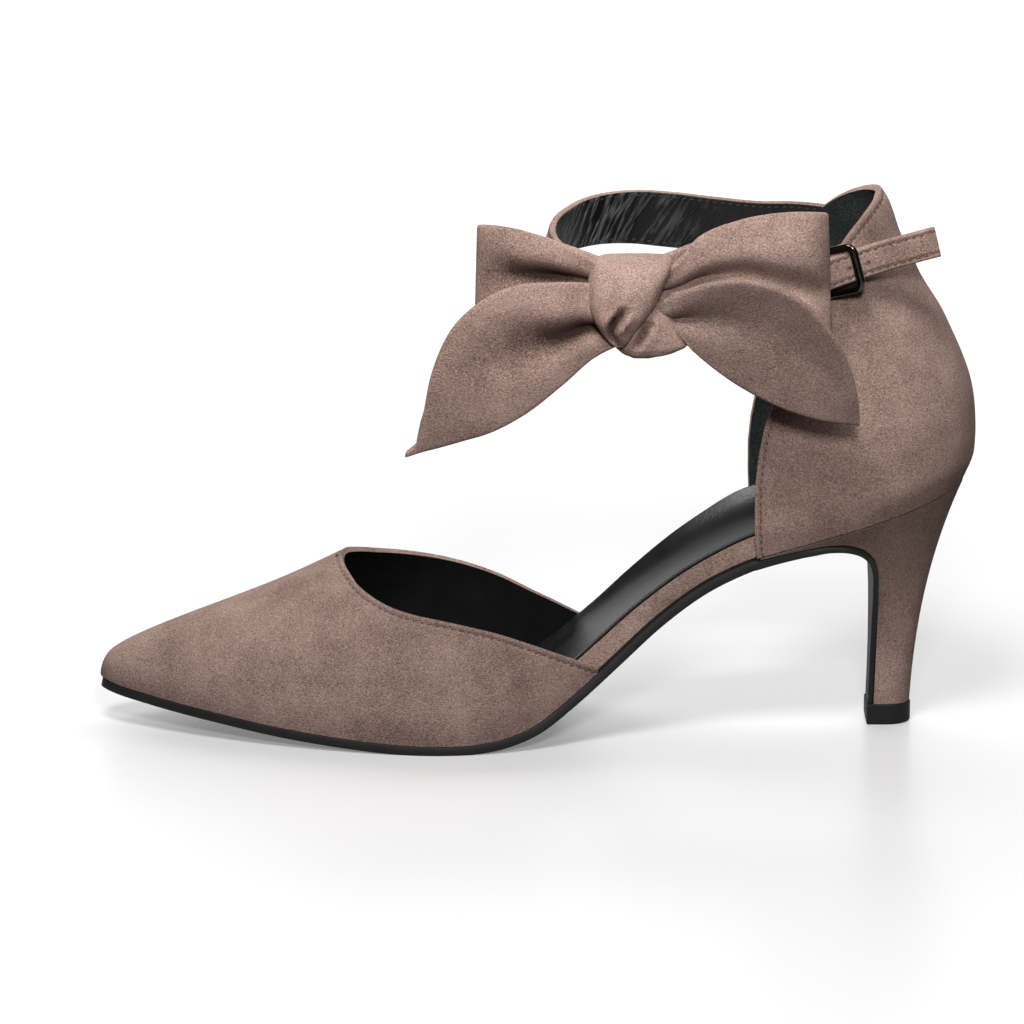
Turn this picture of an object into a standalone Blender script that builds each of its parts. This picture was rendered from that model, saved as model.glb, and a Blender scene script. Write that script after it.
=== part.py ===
"""A pointed two-piece court shoe for the left foot, with a bow on its ankle strap.

The vamp and the heel counter are separate shells on one sole. The strap leaves the medial side of the
counter, runs round the front of the ankle, carries the bow, and ends in a tail through a slide buckle.

Sizes are in millimetres. x runs from the toe tip to the heel, y from the lateral side (minus) to the
medial side (plus), and z up from the floor. MM turns them into metres.
"""
import math
from collections import namedtuple

import bmesh
import bpy
import numpy as np
from mathutils import Vector

MM = 0.001
GAP = 0.3                    # air between pieces that meet

SOLE_THICKNESS = 2.7
FLAP_THICKNESS = 1.5         # the sole is skived thinner where it turns down the heel breast
SOLE_INSET = 0.8             # sole edge, in from the widest line of the upper
SOLE_WAIST_LENGTH = 21.0     # over which the sole narrows from the last to the heel breast
SOLE_TOE_X = 0.9             # where the sole's rounded tip starts
SOLE_FOREPART_STATIONS = 40
SOLE_CROWDING = 1.35         # above 1 the stations crowd towards the toe

VAMP_WALL = 1.5
VAMP_TUCK = 0.8              # the upper turns in by this much at the sole
VAMP_TUCK_HEIGHT = 7.0
VAMP_FULLNESS = 0.9          # below 1 the sections are fuller than an ellipse
VAMP_END_X = 135.0
THROAT_X = 65.2
VAMP_TOE_ROWS = 13
VAMP_WING_ROWS = 14
VAMP_COLUMNS = 10            # from the sole to the topline, on each side
VAMP_TOE_CROWDING = 2.0      # above 1 the rows crowd towards the tip, or towards the throat
VAMP_WING_CROWDING = 1.8
VAMP_KNEE = 0.6              # the share of a wing's height whose columns run straight on from the toe
WING_END_HEIGHT = 1.4        # blunt end of the topline at the sole

COUNTER_WALL = 2.0
COUNTER_COLUMNS = 24
COUNTER_LEVEL_POWER = 1.5    # how fast the rows turn from the slope of the seat to level

SEAT_START_X = 189.0
SEAT_SLOPE = 0.274
HEEL_NOSE_X = 203.4          # behind this the seat outline is half an ellipse
HEEL_NOSE_LENGTH = 30.2
SEAT_HALF_WIDTH = 24.2

HEEL_FRONT_X = 205.0         # in front of the breast, so that the sole's curve trims it
HEEL_TIP_SIDE_X = 213.6
HEEL_TIP_HALF_WIDTH = 5.6
HEEL_TIP_LENGTH = 6.6        # from the side's end to the back of the tip
HEEL_POINTS = 28
HEEL_LEVELS = (0.0, 0.1, 0.22, 0.35, 0.48, 0.6, 0.7, 0.79, 0.87, 0.94, 1.0)
HEEL_SIDE_POWER = 2.6        # the sides stay slim and flare late
HEEL_BACK_POWER = 2.3
HEEL_BACK_STRAIGHT = 0.28    # the part of the back that slopes evenly

TOP_PIECE_HEIGHT = 5.7
TOP_PIECE_FRONT_X = 208.3
TOP_PIECE_RIM = 0.3          # wider than the heel tip all round

BOARD_INSET = 2.8            # from the widest line of the upper to the insole board's edge
SOCK_INSET = 0.6             # from the board's edge to the sock's edge
SOCK_THICKNESS = 1.0
FOOTBED_COLUMNS = 6

STRAP_THICKNESS = 1.8
STRAP_STATIONS = 72

BUCKLE_CENTRE = (197.7, -27.2, 130.1)
BUCKLE_LENGTH = 12.6
BUCKLE_HEIGHT = 13.4
BUCKLE_BAR = 2.2
BUCKLE_DEPTH = 1.5
BUCKLE_CORNER = 2.6
BUCKLE_CORNER_STEPS = 5
BUCKLE_SECTION_POINTS = 8
BUCKLE_RISE_DEG = 15.0       # follows the strap's tail
BUCKLE_PLAN_DEG = -17.0      # heel-side bar over the tail, toe-side bar under it

RIBBON_THICKNESS = 1.8
RIBBON_COLUMNS = 6
RIBBON_ROWS_PER_FOLD = 3
KNOT_POINTS = 20
KNOT_SQUARENESS = 2.6
KNOT_STRAP_REACH = 9.0       # how far inside the strap the knot is trimmed away

LastRow = namedtuple("LastRow", "x z lateral medial")
LAST = [
    LastRow(0.0, 12.6, 0.0, 0.0),
    LastRow(2.0, 12.2, 4.6, 4.6),
    LastRow(6.0, 11.4, 7.9, 8.1),
    LastRow(12.0, 10.5, 11.6, 12.2),
    LastRow(22.0, 9.1, 17.0, 18.2),
    LastRow(35.0, 7.4, 22.8, 24.6),
    LastRow(50.0, 5.4, 28.2, 30.2),
    LastRow(65.0, 3.9, 32.4, 34.2),
    LastRow(80.0, 2.8, 35.4, 36.2),
    LastRow(92.0, 2.45, 36.4, 35.6),
    LastRow(102.0, 2.75, 35.6, 33.2),
    LastRow(110.0, 4.0, 34.0, 30.2),
    LastRow(118.0, 6.9, 31.6, 27.0),
    LastRow(127.0, 13.4, 28.8, 24.0),
    LastRow(138.0, 23.0, 26.0, 21.4),
    LastRow(150.0, 34.0, 24.0, 20.0),
    LastRow(162.0, 43.0, 23.0, 20.2),
    LastRow(175.0, 49.6, 22.8, 21.6),
    LastRow(SEAT_START_X, 54.2, 23.6, 23.4),
    LastRow(HEEL_NOSE_X, 58.1, SEAT_HALF_WIDTH, SEAT_HALF_WIDTH),
]

RidgeRow = namedtuple("RidgeRow", "x rise")
RIDGE = [
    RidgeRow(0.0, 0.0),
    RidgeRow(2.0, 6.4),
    RidgeRow(5.3, 9.7),
    RidgeRow(12.0, 14.0),
    RidgeRow(25.0, 20.9),
    RidgeRow(38.0, 27.4),
    RidgeRow(51.0, 34.3),
    RidgeRow(THROAT_X, 42.4),
    RidgeRow(90.0, 57.0),
    RidgeRow(110.0, 66.0),
    RidgeRow(VAMP_END_X, 69.0),
]

ToplineRow = namedtuple("ToplineRow", "x lateral medial")
TOPLINE = [
    ToplineRow(THROAT_X, 47.2, 47.2),
    ToplineRow(66.1, 46.5, 46.6),
    ToplineRow(68.0, 45.1, 45.2),
    ToplineRow(70.5, 42.9, 44.1),
    ToplineRow(74.0, 40.9, 42.9),
    ToplineRow(79.0, 38.8, 41.7),
    ToplineRow(85.0, 37.3, 40.4),
    ToplineRow(93.0, 36.0, 38.6),
    ToplineRow(101.0, 34.4, 36.4),
    ToplineRow(109.0, 32.3, 33.7),
    ToplineRow(117.0, 29.3, 30.1),
    ToplineRow(125.0, 26.0, 26.6),
    ToplineRow(VAMP_END_X, 21.7, 22.0),
]

# The sole's upper side from the waist over the heel breast and down to the top piece.
SoleRow = namedtuple("SoleRow", "x z")
SOLE_BREAST = [
    SoleRow(176.0, 49.9),
    SoleRow(184.0, 51.9),
    SoleRow(191.0, 53.4),
    SoleRow(197.2, 54.3),
    SoleRow(202.3, 53.9),
    SoleRow(206.2, 52.2),
    SoleRow(208.9, 49.2),
    SoleRow(210.2, 45.0),
    SoleRow(210.6, 39.0),
    SoleRow(210.6, 28.0),
    SoleRow(210.4, 16.0),
    SoleRow(210.1, TOP_PIECE_HEIGHT + GAP),
]
SOLE_BREAST_STATIONS = 28

BoardRow = namedtuple("BoardRow", "x lateral medial cup")
BOARD = [
    BoardRow(0.0, 1.2, 1.2, 0.0),
    BoardRow(80.0, 1.4, 1.4, 0.0),
    BoardRow(105.0, 2.6, 2.6, 0.5),
    BoardRow(118.0, 4.6, 4.8, 1.1),
    BoardRow(129.0, 5.8, 5.6, 1.8),
    BoardRow(142.0, 5.8, 5.8, 2.2),
    BoardRow(154.0, 5.4, 6.4, 2.2),
    BoardRow(166.0, 5.4, 7.6, 2.4),
    BoardRow(178.0, 6.0, 9.2, 2.6),
    BoardRow(200.0, 5.4, 6.6, 2.0),
    BoardRow(234.0, 4.4, 4.4, 1.0),
]
FOOTBED_STATIONS = 38

CounterRow = namedtuple("CounterRow", "level back nose half front_lateral front_medial")
COUNTER = [
    CounterRow(66.4, 233.6, 30.2, 24.2, 177.4, 177.4),
    CounterRow(69.4, 234.8, 30.2, 25.4, 177.0, 177.2),
    CounterRow(73.0, 236.0, 30.6, 26.4, 176.7, 176.9),
    CounterRow(78.7, 236.7, 31.0, 27.1, 176.5, 176.6),
    CounterRow(84.5, 236.6, 31.0, 27.3, 176.6, 176.6),
    CounterRow(90.0, 236.1, 31.4, 27.3, 177.3, 177.3),
    CounterRow(95.5, 235.0, 32.0, 27.1, 178.7, 178.7),
    CounterRow(102.0, 232.8, 32.4, 26.8, 181.6, 181.6),
    CounterRow(108.5, 230.0, 33.0, 26.4, 185.4, 185.4),
    CounterRow(115.0, 226.9, 33.6, 26.0, 189.6, 189.0),
    CounterRow(121.5, 222.8, 34.0, 25.6, 192.8, 191.6),
    CounterRow(124.0, 221.3, 34.0, 25.4, 191.8, 192.3),
    CounterRow(129.5, 218.7, 34.0, 25.0, 190.8, 193.4),
    CounterRow(134.6, 215.9, 34.0, 24.4, 191.8, 194.4),
    CounterRow(136.2, 215.2, 34.0, 24.1, 199.4, 195.0),
    CounterRow(138.6, 214.4, 34.0, 23.6, 201.6, 196.4),
    CounterRow(141.4, 213.4, 34.0, 23.0, 204.6, 199.8),
    CounterRow(143.8, 212.4, 34.0, 22.2, 207.0, 203.6),
    CounterRow(145.8, 211.2, 34.0, 21.4, 209.2, 207.4),
    CounterRow(146.9, 210.4, 34.0, 21.0, 209.9, 209.8),
]

# lean is in degrees: how far the lower edge stands out from the ankle.
StrapRow = namedtuple("StrapRow", "x y z width lean")
STRAP = [
    StrapRow(206.0, 20.0, 132.2, 11.5, 18.0),
    StrapRow(199.0, 23.4, 132.2, 12.5, 16.0),
    StrapRow(190.0, 26.6, 132.0, 13.4, 12.0),
    StrapRow(178.0, 29.4, 131.1, 14.4, 8.0),
    StrapRow(166.0, 30.6, 131.6, 15.2, 5.0),
    StrapRow(155.0, 30.6, 132.7, 15.5, 4.0),
    StrapRow(145.0, 29.4, 133.7, 15.0, 4.0),
    StrapRow(137.0, 26.4, 133.8, 14.4, 6.0),
    StrapRow(131.0, 22.2, 133.3, 14.0, 9.0),
    StrapRow(126.4, 17.0, 132.3, 13.9, 13.0),
    StrapRow(121.8, 8.0, 130.8, 13.9, 18.0),
    StrapRow(120.7, -2.0, 129.4, 14.0, 20.0),
    StrapRow(122.4, -11.5, 128.4, 14.0, 18.0),
    StrapRow(127.0, -20.0, 126.6, 14.0, 12.0),
    StrapRow(134.0, -25.4, 124.0, 13.8, 6.0),
    StrapRow(142.0, -28.4, 121.8, 13.6, 2.0),
    StrapRow(155.0, -31.6, 119.9, 13.0, 0.0),
    StrapRow(169.0, -31.8, 121.2, 11.5, 0.0),
    StrapRow(182.0, -30.4, 124.8, 9.4, 0.0),
    StrapRow(190.5, -29.0, 127.8, 8.2, 0.0),
    StrapRow(197.0, -27.4, 130.0, 8.2, 0.0),
    StrapRow(203.0, -26.0, 131.8, 8.2, 0.0),
    StrapRow(210.0, -24.8, 133.8, 8.2, 0.0),
    StrapRow(217.0, -24.0, 135.6, 8.2, 0.0),
    StrapRow(223.8, -23.4, 137.3, 8.2, 0.0),
]

# Each fold of a ribbon is a line from its upper edge to its lower edge; belly bows it outwards.
Fold = namedtuple("Fold", "up_x up_y up_z low_x low_y low_z belly")
TOE_LOOP = [
    Fold(136.1, -45.5, 135.2, 136.1, -45.5, 126.3, 0.0),
    Fold(132.2, -46.0, 137.8, 132.2, -44.5, 125.3, -1.0),
    Fold(124.4, -46.4, 141.3, 124.5, -43.5, 122.7, 1.0),
    Fold(114.1, -46.0, 144.9, 114.1, -43.5, 119.1, 2.4),
    Fold(107.0, -45.0, 145.9, 106.9, -42.5, 116.6, 1.6),
    Fold(103.8, -42.0, 145.5, 103.0, -39.5, 114.7, 0.0),
    Fold(106.5, -39.0, 144.8, 106.2, -36.5, 116.2, -0.5),
    Fold(116.0, -37.0, 142.6, 116.0, -36.0, 120.0, -0.5),
    Fold(126.0, -38.0, 139.5, 126.0, -37.0, 123.3, 0.0),
    Fold(136.0, -40.0, 136.2, 136.0, -39.5, 126.5, 0.0),
]
HEEL_LOOP = [
    Fold(149.0, -45.5, 134.0, 149.1, -45.5, 125.8, 0.0),
    Fold(153.6, -46.0, 135.9, 153.5, -44.5, 124.8, -1.0),
    Fold(160.2, -46.0, 142.9, 160.8, -44.0, 122.8, 1.2),
    Fold(170.8, -45.4, 147.3, 171.3, -44.0, 120.1, 2.8),
    Fold(183.7, -45.0, 149.3, 184.4, -43.0, 117.2, 2.6),
    Fold(191.0, -44.0, 149.1, 192.6, -41.4, 115.6, 1.2),
    Fold(193.2, -41.2, 148.4, 194.6, -38.5, 114.8, 0.0),
    Fold(189.2, -38.0, 147.3, 190.2, -36.5, 116.0, -0.5),
    Fold(176.5, -37.0, 145.2, 176.5, -36.0, 119.0, -0.5),
    Fold(161.0, -38.0, 140.6, 161.0, -37.0, 123.0, 0.0),
    Fold(149.0, -40.0, 136.3, 149.0, -39.5, 126.5, 0.0),
]
TOE_TAIL = [
    Fold(136.0, -48.8, 130.7, 139.5, -48.4, 114.7, 0.0),
    Fold(130.9, -49.4, 131.6, 133.5, -47.6, 111.4, 0.5),
    Fold(121.8, -50.6, 131.9, 125.0, -48.2, 104.1, 1.5),
    Fold(112.8, -51.2, 131.2, 115.9, -48.5, 96.8, 2.0),
    Fold(103.7, -51.5, 127.0, 106.8, -48.0, 91.6, 2.0),
    Fold(96.2, -51.0, 119.5, 99.0, -46.5, 88.8, 1.5),
    Fold(91.5, -49.5, 108.6, 93.2, -45.5, 86.9, 1.0),
    Fold(89.4, -47.5, 97.0, 89.0, -45.0, 85.7, 0.5),
    Fold(86.7, -45.2, 87.1, 83.9, -44.6, 84.1, 0.0),
]
HEEL_TAIL = [
    Fold(149.0, -48.8, 126.2, 156.6, -48.4, 115.5, 0.0),
    Fold(153.4, -49.4, 128.2, 160.3, -47.6, 111.9, 0.5),
    Fold(160.5, -52.6, 131.6, 166.6, -46.0, 106.5, 1.5),
    Fold(170.8, -54.8, 133.5, 173.9, -44.6, 101.5, 2.0),
    Fold(180.6, -55.2, 131.4, 182.4, -43.4, 97.0, 2.0),
    Fold(188.5, -54.2, 126.4, 190.3, -42.6, 94.1, 1.5),
    Fold(195.1, -52.0, 118.4, 196.6, -42.0, 92.7, 1.0),
    Fold(199.8, -48.6, 109.1, 200.4, -41.4, 92.2, 0.5),
    Fold(202.5, -44.0, 98.6, 202.8, -41.0, 91.8, 0.0),
]

KnotRow = namedtuple("KnotRow", "z left right front back")
KNOT_WRAP = [
    KnotRow(137.4, 137.5, 150.5, -45.5, -40.0),
    KnotRow(136.4, 134.0, 153.4, -49.6, -36.0),
    KnotRow(133.6, 132.2, 153.0, -53.0, -32.6),
    KnotRow(129.5, 131.5, 151.2, -54.8, -29.8),
    KnotRow(125.5, 131.6, 149.6, -55.0, -29.8),
    KnotRow(122.0, 132.6, 147.2, -54.8, -29.8),
    KnotRow(119.0, 134.4, 144.8, -54.0, -30.0),
    KnotRow(116.6, 136.2, 143.0, -53.1, -32.0),
    KnotRow(114.9, 138.0, 141.3, -51.6, -37.0),
]
KNOT_TUCK = [
    KnotRow(127.0, 146.0, 150.0, -48.0, -38.0),
    KnotRow(124.5, 143.4, 151.9, -50.4, -36.0),
    KnotRow(121.0, 141.4, 154.2, -51.8, -34.0),
    KnotRow(117.6, 139.4, 156.2, -51.9, -33.3),
    KnotRow(114.8, 138.4, 157.8, -51.4, -33.3),
    KnotRow(112.9, 139.8, 155.0, -50.6, -36.4),
    KnotRow(111.4, 142.8, 148.8, -48.8, -40.0),
]

Finish = namedtuple("Finish", "colour roughness metallic")
SUEDE = Finish((0.26, 0.20, 0.17), 0.95, 0.0)
LEATHER = Finish((0.03, 0.03, 0.03), 0.45, 0.0)
RUBBER = Finish((0.012, 0.012, 0.012), 0.7, 0.0)
GUNMETAL = Finish((0.05, 0.05, 0.055), 0.25, 1.0)

LATERAL = -1.0
MEDIAL = 1.0
SHARP_DEG = 35.0             # edges sharper than this stay crisp
OUTLINE_STEPS = 400
HEEL_CUTTER_REACH = 70.0
HEEL_CUTTER_START_X = 177.0


def column(table, name):
    """One named column of a table, as an array."""
    return np.array([getattr(row, name) for row in table])


def smooth(places, values, at):
    """A curve through the values with no kinks: cubic pieces that share their slopes."""
    slopes = np.gradient(values, places)
    index = np.clip(np.searchsorted(places, at) - 1, 0, len(places) - 2)
    step = places[index + 1] - places[index]
    t = (at - places[index]) / step
    return ((1 + 2 * t) * (1 - t) ** 2 * values[index] + t * (1 - t) ** 2 * step * slopes[index]
            + t * t * (3 - 2 * t) * values[index + 1] - t * t * (1 - t) * step * slopes[index + 1])


def smooth_root(places, values, at):
    """Like smooth, for a size that rounds off to nothing at one end."""
    return math.sqrt(max(0.0, smooth(places, values ** 2, at)))


def resample(table, count):
    """The table's rows joined by a smooth curve and spaced evenly along it."""
    rows = np.array(table, dtype=float)
    runs = np.linalg.norm(np.diff(rows, axis=0), axis=1)
    places = np.concatenate([[0.0], np.cumsum(runs)])
    even = np.linspace(0.0, places[-1], count)
    columns = [[smooth(places, rows[:, k], at) for at in even] for k in range(rows.shape[1])]
    return np.array(columns).T


def last_z(x):
    """Height of the line where the upper meets the sole and the heel seat."""
    if x >= SEAT_START_X:
        return LAST[-2].z + (x - SEAT_START_X) * SEAT_SLOPE
    return smooth(column(LAST, "x"), column(LAST, "z"), x)


def half_width(x, side):
    """Half width of the shoe at its widest line, in plan."""
    if x > HEEL_NOSE_X:
        share = min(1.0, (x - HEEL_NOSE_X) / HEEL_NOSE_LENGTH)
        return SEAT_HALF_WIDTH * math.sqrt(1.0 - share * share)
    widths = column(LAST, "lateral" if side == LATERAL else "medial")
    return smooth_root(column(LAST, "x"), widths, x)


def inset_half_width(x, side, inset):
    """Half width of the plan outline moved in by the same distance all round."""
    heel_x = HEEL_NOSE_X + HEEL_NOSE_LENGTH
    places = heel_x * 0.5 * (1.0 - np.cos(np.linspace(0.0, math.pi, OUTLINE_STEPS)))
    widths = np.array([half_width(place, side) for place in places])
    along = np.gradient(places)
    across = np.gradient(widths)
    run = np.hypot(along, across)
    return float(np.interp(x, places + inset * across / run, widths - inset * along / run))


def last_normal(x):
    """Direction square to the sole's line in side view, pointing up."""
    step = 0.5
    slope = (last_z(x + step) - last_z(x - step)) / (2 * step) if x > step else 0.0
    run = math.hypot(1.0, slope)
    return -slope / run, 1.0 / run


def material(name, finish):
    """A Principled material for one sub-part."""
    made = bpy.data.materials.new(name)
    made.use_nodes = True
    shader = made.node_tree.nodes["Principled BSDF"]
    shader.inputs["Base Color"].default_value = (*finish.colour, 1.0)
    shader.inputs["Roughness"].default_value = finish.roughness
    shader.inputs["Metallic"].default_value = finish.metallic
    made.diffuse_color = (*finish.colour, 1.0)
    return made


def add_object(name, bm, finish=None):
    """Turn a bmesh into an object; one without a finish is a cutter."""
    mesh = bpy.data.meshes.new(name)
    bm.to_mesh(mesh)
    bm.free()
    thing = bpy.data.objects.new(name, mesh)
    bpy.context.scene.collection.objects.link(thing)
    if finish is None:
        thing.hide_render = True
        thing.display_type = "WIRE"
    else:
        mesh.materials.append(material(name, finish))
        mesh.shade_smooth()
        mesh.set_sharp_from_angle(angle=math.radians(SHARP_DEG))
    return thing


def point(bm, place):
    """A vertex at a place given in millimetres."""
    return bm.verts.new(Vector(place) * MM)


def skin(bm, rows):
    """Four-sided faces between neighbouring rows of vertices."""
    for row, following in zip(rows, rows[1:]):
        for k in range(len(row) - 1):
            bm.faces.new((row[k], row[k + 1], following[k + 1], following[k]))


def loft(bm, rings):
    """A closed body through rings of places, with a cap at each end."""
    loops = [[point(bm, place) for place in ring] for ring in rings]
    skin(bm, [loop + loop[:1] for loop in loops])
    bm.faces.new(list(reversed(loops[0])))
    bm.faces.new(loops[-1])
    bmesh.ops.recalc_face_normals(bm, faces=bm.faces)


def thicken(thing, thickness, offset):
    """Give an open shell its wall."""
    wall = thing.modifiers.new("wall", "SOLIDIFY")
    wall.thickness = thickness * MM
    wall.offset = offset
    wall.use_even_offset = True
    wall.use_quality_normals = True


def cut(thing, cutter, operation="DIFFERENCE"):
    """Trim or join a body with another one."""
    trim = thing.modifiers.new(cutter.name, "BOOLEAN")
    trim.operation = operation
    trim.solver = "EXACT"
    trim.object = cutter


def sole_stations():
    """Places along the sole's upper side: x, z, and half widths on both sides."""
    shares = np.linspace(0.0, 1.0, SOLE_FOREPART_STATIONS) ** SOLE_CROWDING
    forepart = SOLE_TOE_X + (SOLE_BREAST[0].x - SOLE_TOE_X) * shares
    stations = [(x, last_z(x), inset_half_width(x, LATERAL, SOLE_INSET),
                 inset_half_width(x, MEDIAL, SOLE_INSET)) for x in forepart]
    for x, z in resample(SOLE_BREAST, SOLE_BREAST_STATIONS)[1:]:
        share = min(1.0, (x - SOLE_BREAST[0].x) / SOLE_WAIST_LENGTH)
        edges = [half_width(x, side) - SOLE_INSET for side in (LATERAL, MEDIAL)]
        halves = [edge + (min(breast_half_width(z), edge) - edge) * share for edge in edges]
        stations.append((x, z, *halves))
    return np.array(stations)


def breast_half_width(z):
    """Half width of the heel breast at a height."""
    bottom = TOP_PIECE_HEIGHT + GAP
    share = min(1.0, max(0.0, (z - bottom) / (last_z(SEAT_START_X) - bottom)))
    seat = half_width(SEAT_START_X, LATERAL)
    return HEEL_TIP_HALF_WIDTH + (seat - HEEL_TIP_HALF_WIDTH) * share ** HEEL_SIDE_POWER


def side_normals(xs, zs):
    """Directions square to a side-view line, to the left of its run."""
    along_x = np.gradient(xs)
    along_z = np.gradient(zs)
    run = np.hypot(along_x, along_z)
    return -along_z / run, along_x / run


def build_outsole():
    """The sole, from the toe tip to the foot of the heel breast; flat on the floor at the ball."""
    stations = sole_stations()
    normal_x, normal_z = side_normals(stations[:, 0], stations[:, 1])
    fade = np.clip((stations[:, 0] - SOLE_BREAST[0].x) / (HEEL_NOSE_X - SOLE_BREAST[0].x), 0.0, 1.0)
    thickness = SOLE_THICKNESS + (FLAP_THICKNESS - SOLE_THICKNESS) * fade
    rings = []
    for (x, z, lateral, medial), out_x, out_z, wall in zip(stations, normal_x, normal_z, thickness):
        low_x = x - out_x * wall
        low_z = max(0.0, z - out_z * wall)
        rings.append([(x, -lateral, z), (low_x, -lateral, low_z), (low_x, medial, low_z), (x, medial, z)])
    bm = bmesh.new()
    loft(bm, rings)
    return add_object("outsole", bm, LEATHER)


def resample_outline(places, count):
    """A plan outline with its points spaced evenly."""
    places = np.array(places)
    run = np.concatenate([[0.0], np.cumsum(np.linalg.norm(np.diff(places, axis=0), axis=1))])
    even = np.linspace(0.0, run[-1], count)
    return np.column_stack([np.interp(even, run, places[:, k]) for k in range(2)])


def tip_outline(front_x, rim, count):
    """The heel tip in plan: straight sides and a round back, from lateral front to medial front."""
    half = HEEL_TIP_HALF_WIDTH + rim
    turns = np.linspace(-math.pi / 2, math.pi / 2, OUTLINE_STEPS)
    arc = [(HEEL_TIP_SIDE_X + (HEEL_TIP_LENGTH + rim) * math.cos(t), half * math.sin(t)) for t in turns]
    return resample_outline([(front_x, -half)] + arc + [(front_x, half)], count)


def seat_outline(count):
    """The heel seat in plan, from lateral front round the back to medial front."""
    heel_x = HEEL_NOSE_X + HEEL_NOSE_LENGTH
    turns = np.linspace(0.0, math.pi / 2, OUTLINE_STEPS)
    xs = SEAT_START_X + (heel_x - SEAT_START_X) * np.sin(turns)
    lateral = [(x, -half_width(x, LATERAL)) for x in xs]
    medial = [(x, half_width(x, MEDIAL)) for x in xs[::-1]]
    return resample_outline(lateral + medial[1:], count)


def build_heel():
    """The covered heel: slim at the tip, flared to the seat, with the breast cut to the sole's curve."""
    tip = tip_outline(HEEL_FRONT_X, 0.0, HEEL_POINTS)
    seat = seat_outline(HEEL_POINTS)
    bottom = TOP_PIECE_HEIGHT + GAP
    rings = []
    for level in HEEL_LEVELS:
        flare_x = HEEL_BACK_STRAIGHT * level + (1.0 - HEEL_BACK_STRAIGHT) * level ** HEEL_BACK_POWER
        flare_y = level ** HEEL_SIDE_POWER
        ring = []
        for (tip_x, tip_y), (seat_x, seat_y) in zip(tip, seat):
            x = tip_x + (seat_x - tip_x) * flare_x
            y = tip_y + (seat_y - tip_y) * flare_y
            ring.append((x, y, bottom + (last_z(seat_x) - bottom) * level))
        rings.append(ring)
    bm = bmesh.new()
    loft(bm, rings)
    heel = add_object("heel", bm, SUEDE)
    cut(heel, build_breast_cutter())
    return heel


def build_breast_cutter():
    """A block in front of and under the sole's upper side, for trimming the heel's breast."""
    stations = sole_stations()
    stations = stations[stations[:, 0] > HEEL_CUTTER_START_X]
    normal_x, normal_z = side_normals(stations[:, 0], stations[:, 1])
    line = [(x + nx * GAP, z + nz * GAP) for (x, z), nx, nz in zip(stations[:, :2], normal_x, normal_z)]
    foot_x = line[-1][0]
    line += [(foot_x, -HEEL_CUTTER_REACH), (line[0][0], -HEEL_CUTTER_REACH)]
    rings = [[(x, y, z) for x, z in line] for y in (-HEEL_CUTTER_REACH, HEEL_CUTTER_REACH)]
    bm = bmesh.new()
    loft(bm, rings)
    return add_object("breast_cutter", bm)


def build_top_piece():
    """The rubber top piece that stands on the floor."""
    outline = tip_outline(TOP_PIECE_FRONT_X, TOP_PIECE_RIM, HEEL_POINTS)
    bm = bmesh.new()
    loft(bm, [[(x, y, z) for x, y in outline] for z in (0.0, TOP_PIECE_HEIGHT)])
    return add_object("top_piece", bm, RUBBER)


def footbed_ring(x, inset, under, over):
    """One cross section of the footbed between two heights above the last's line, dished by the cup."""
    out_x, out_z = last_normal(x)
    lateral = inset_half_width(x, LATERAL, inset)
    medial = inset_half_width(x, MEDIAL, inset)
    places = column(BOARD, "x")
    lateral_edge = smooth(places, column(BOARD, "lateral"), x)
    medial_edge = smooth(places, column(BOARD, "medial"), x)
    cup = smooth(places, column(BOARD, "cup"), x)
    lower = []
    upper = []
    for share in np.linspace(0.0, 1.0, FOOTBED_COLUMNS + 1):
        y = -lateral + (lateral + medial) * share
        dish = lateral_edge + (medial_edge - lateral_edge) * share - cup * 4.0 * share * (1.0 - share)
        low = under(dish)
        high = over(dish)
        lower.append((x + out_x * low, y, last_z(x) + out_z * low))
        upper.append((x + out_x * high, y, last_z(x) + out_z * high))
    return lower + upper[::-1]


def build_footbed_layer(name, finish, inset, under, over):
    """A layer of the footbed from toe to heel."""
    heel_x = HEEL_NOSE_X + HEEL_NOSE_LENGTH
    reach = np.linspace(0.0, math.pi, FOOTBED_STATIONS)
    ends = (inset + GAP, heel_x - inset - GAP)
    xs = ends[0] + (ends[1] - ends[0]) * 0.5 * (1.0 - np.cos(reach))
    bm = bmesh.new()
    loft(bm, [footbed_ring(x, inset, under, over) for x in xs])
    return add_object(name, bm, finish)


def build_insole_board():
    """The stiff board under the foot; its wrapped edge shows at the waist."""
    return build_footbed_layer("insole_board", SUEDE, BOARD_INSET, lambda dish: GAP, lambda dish: dish)


def build_insole_sock():
    """The leather sock that lines the board."""
    return build_footbed_layer("insole_sock", LEATHER, BOARD_INSET + SOCK_INSET,
                               lambda dish: dish + GAP, lambda dish: dish + GAP + SOCK_THICKNESS)


def vamp_place(x, side, share):
    """A place on the vamp: share 0 is at the sole, share 1 at the ridge or the topline."""
    rise = smooth_root(column(RIDGE, "x"), column(RIDGE, "rise"), x)
    foot = last_z(x) + GAP
    angle = share * math.pi / 2
    if x > THROAT_X:
        heights = column(TOPLINE, "lateral" if side == LATERAL else "medial")
        height = max(WING_END_HEIGHT, smooth(column(TOPLINE, "x"), heights, x) - foot)
        top = math.asin(min(1.0, height / rise))
        knee = VAMP_KNEE * top
        if angle > knee:
            angle = knee + (angle - knee) * (top - knee) / (math.pi / 2 - knee)
    height = rise * math.sin(angle)
    tuck = VAMP_TUCK * max(0.0, 1.0 - height / VAMP_TUCK_HEIGHT) ** 2
    across = max(0.0, math.cos(angle)) ** VAMP_FULLNESS * max(0.0, half_width(x, side) - tuck)
    return x, side * across, foot + height


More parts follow.
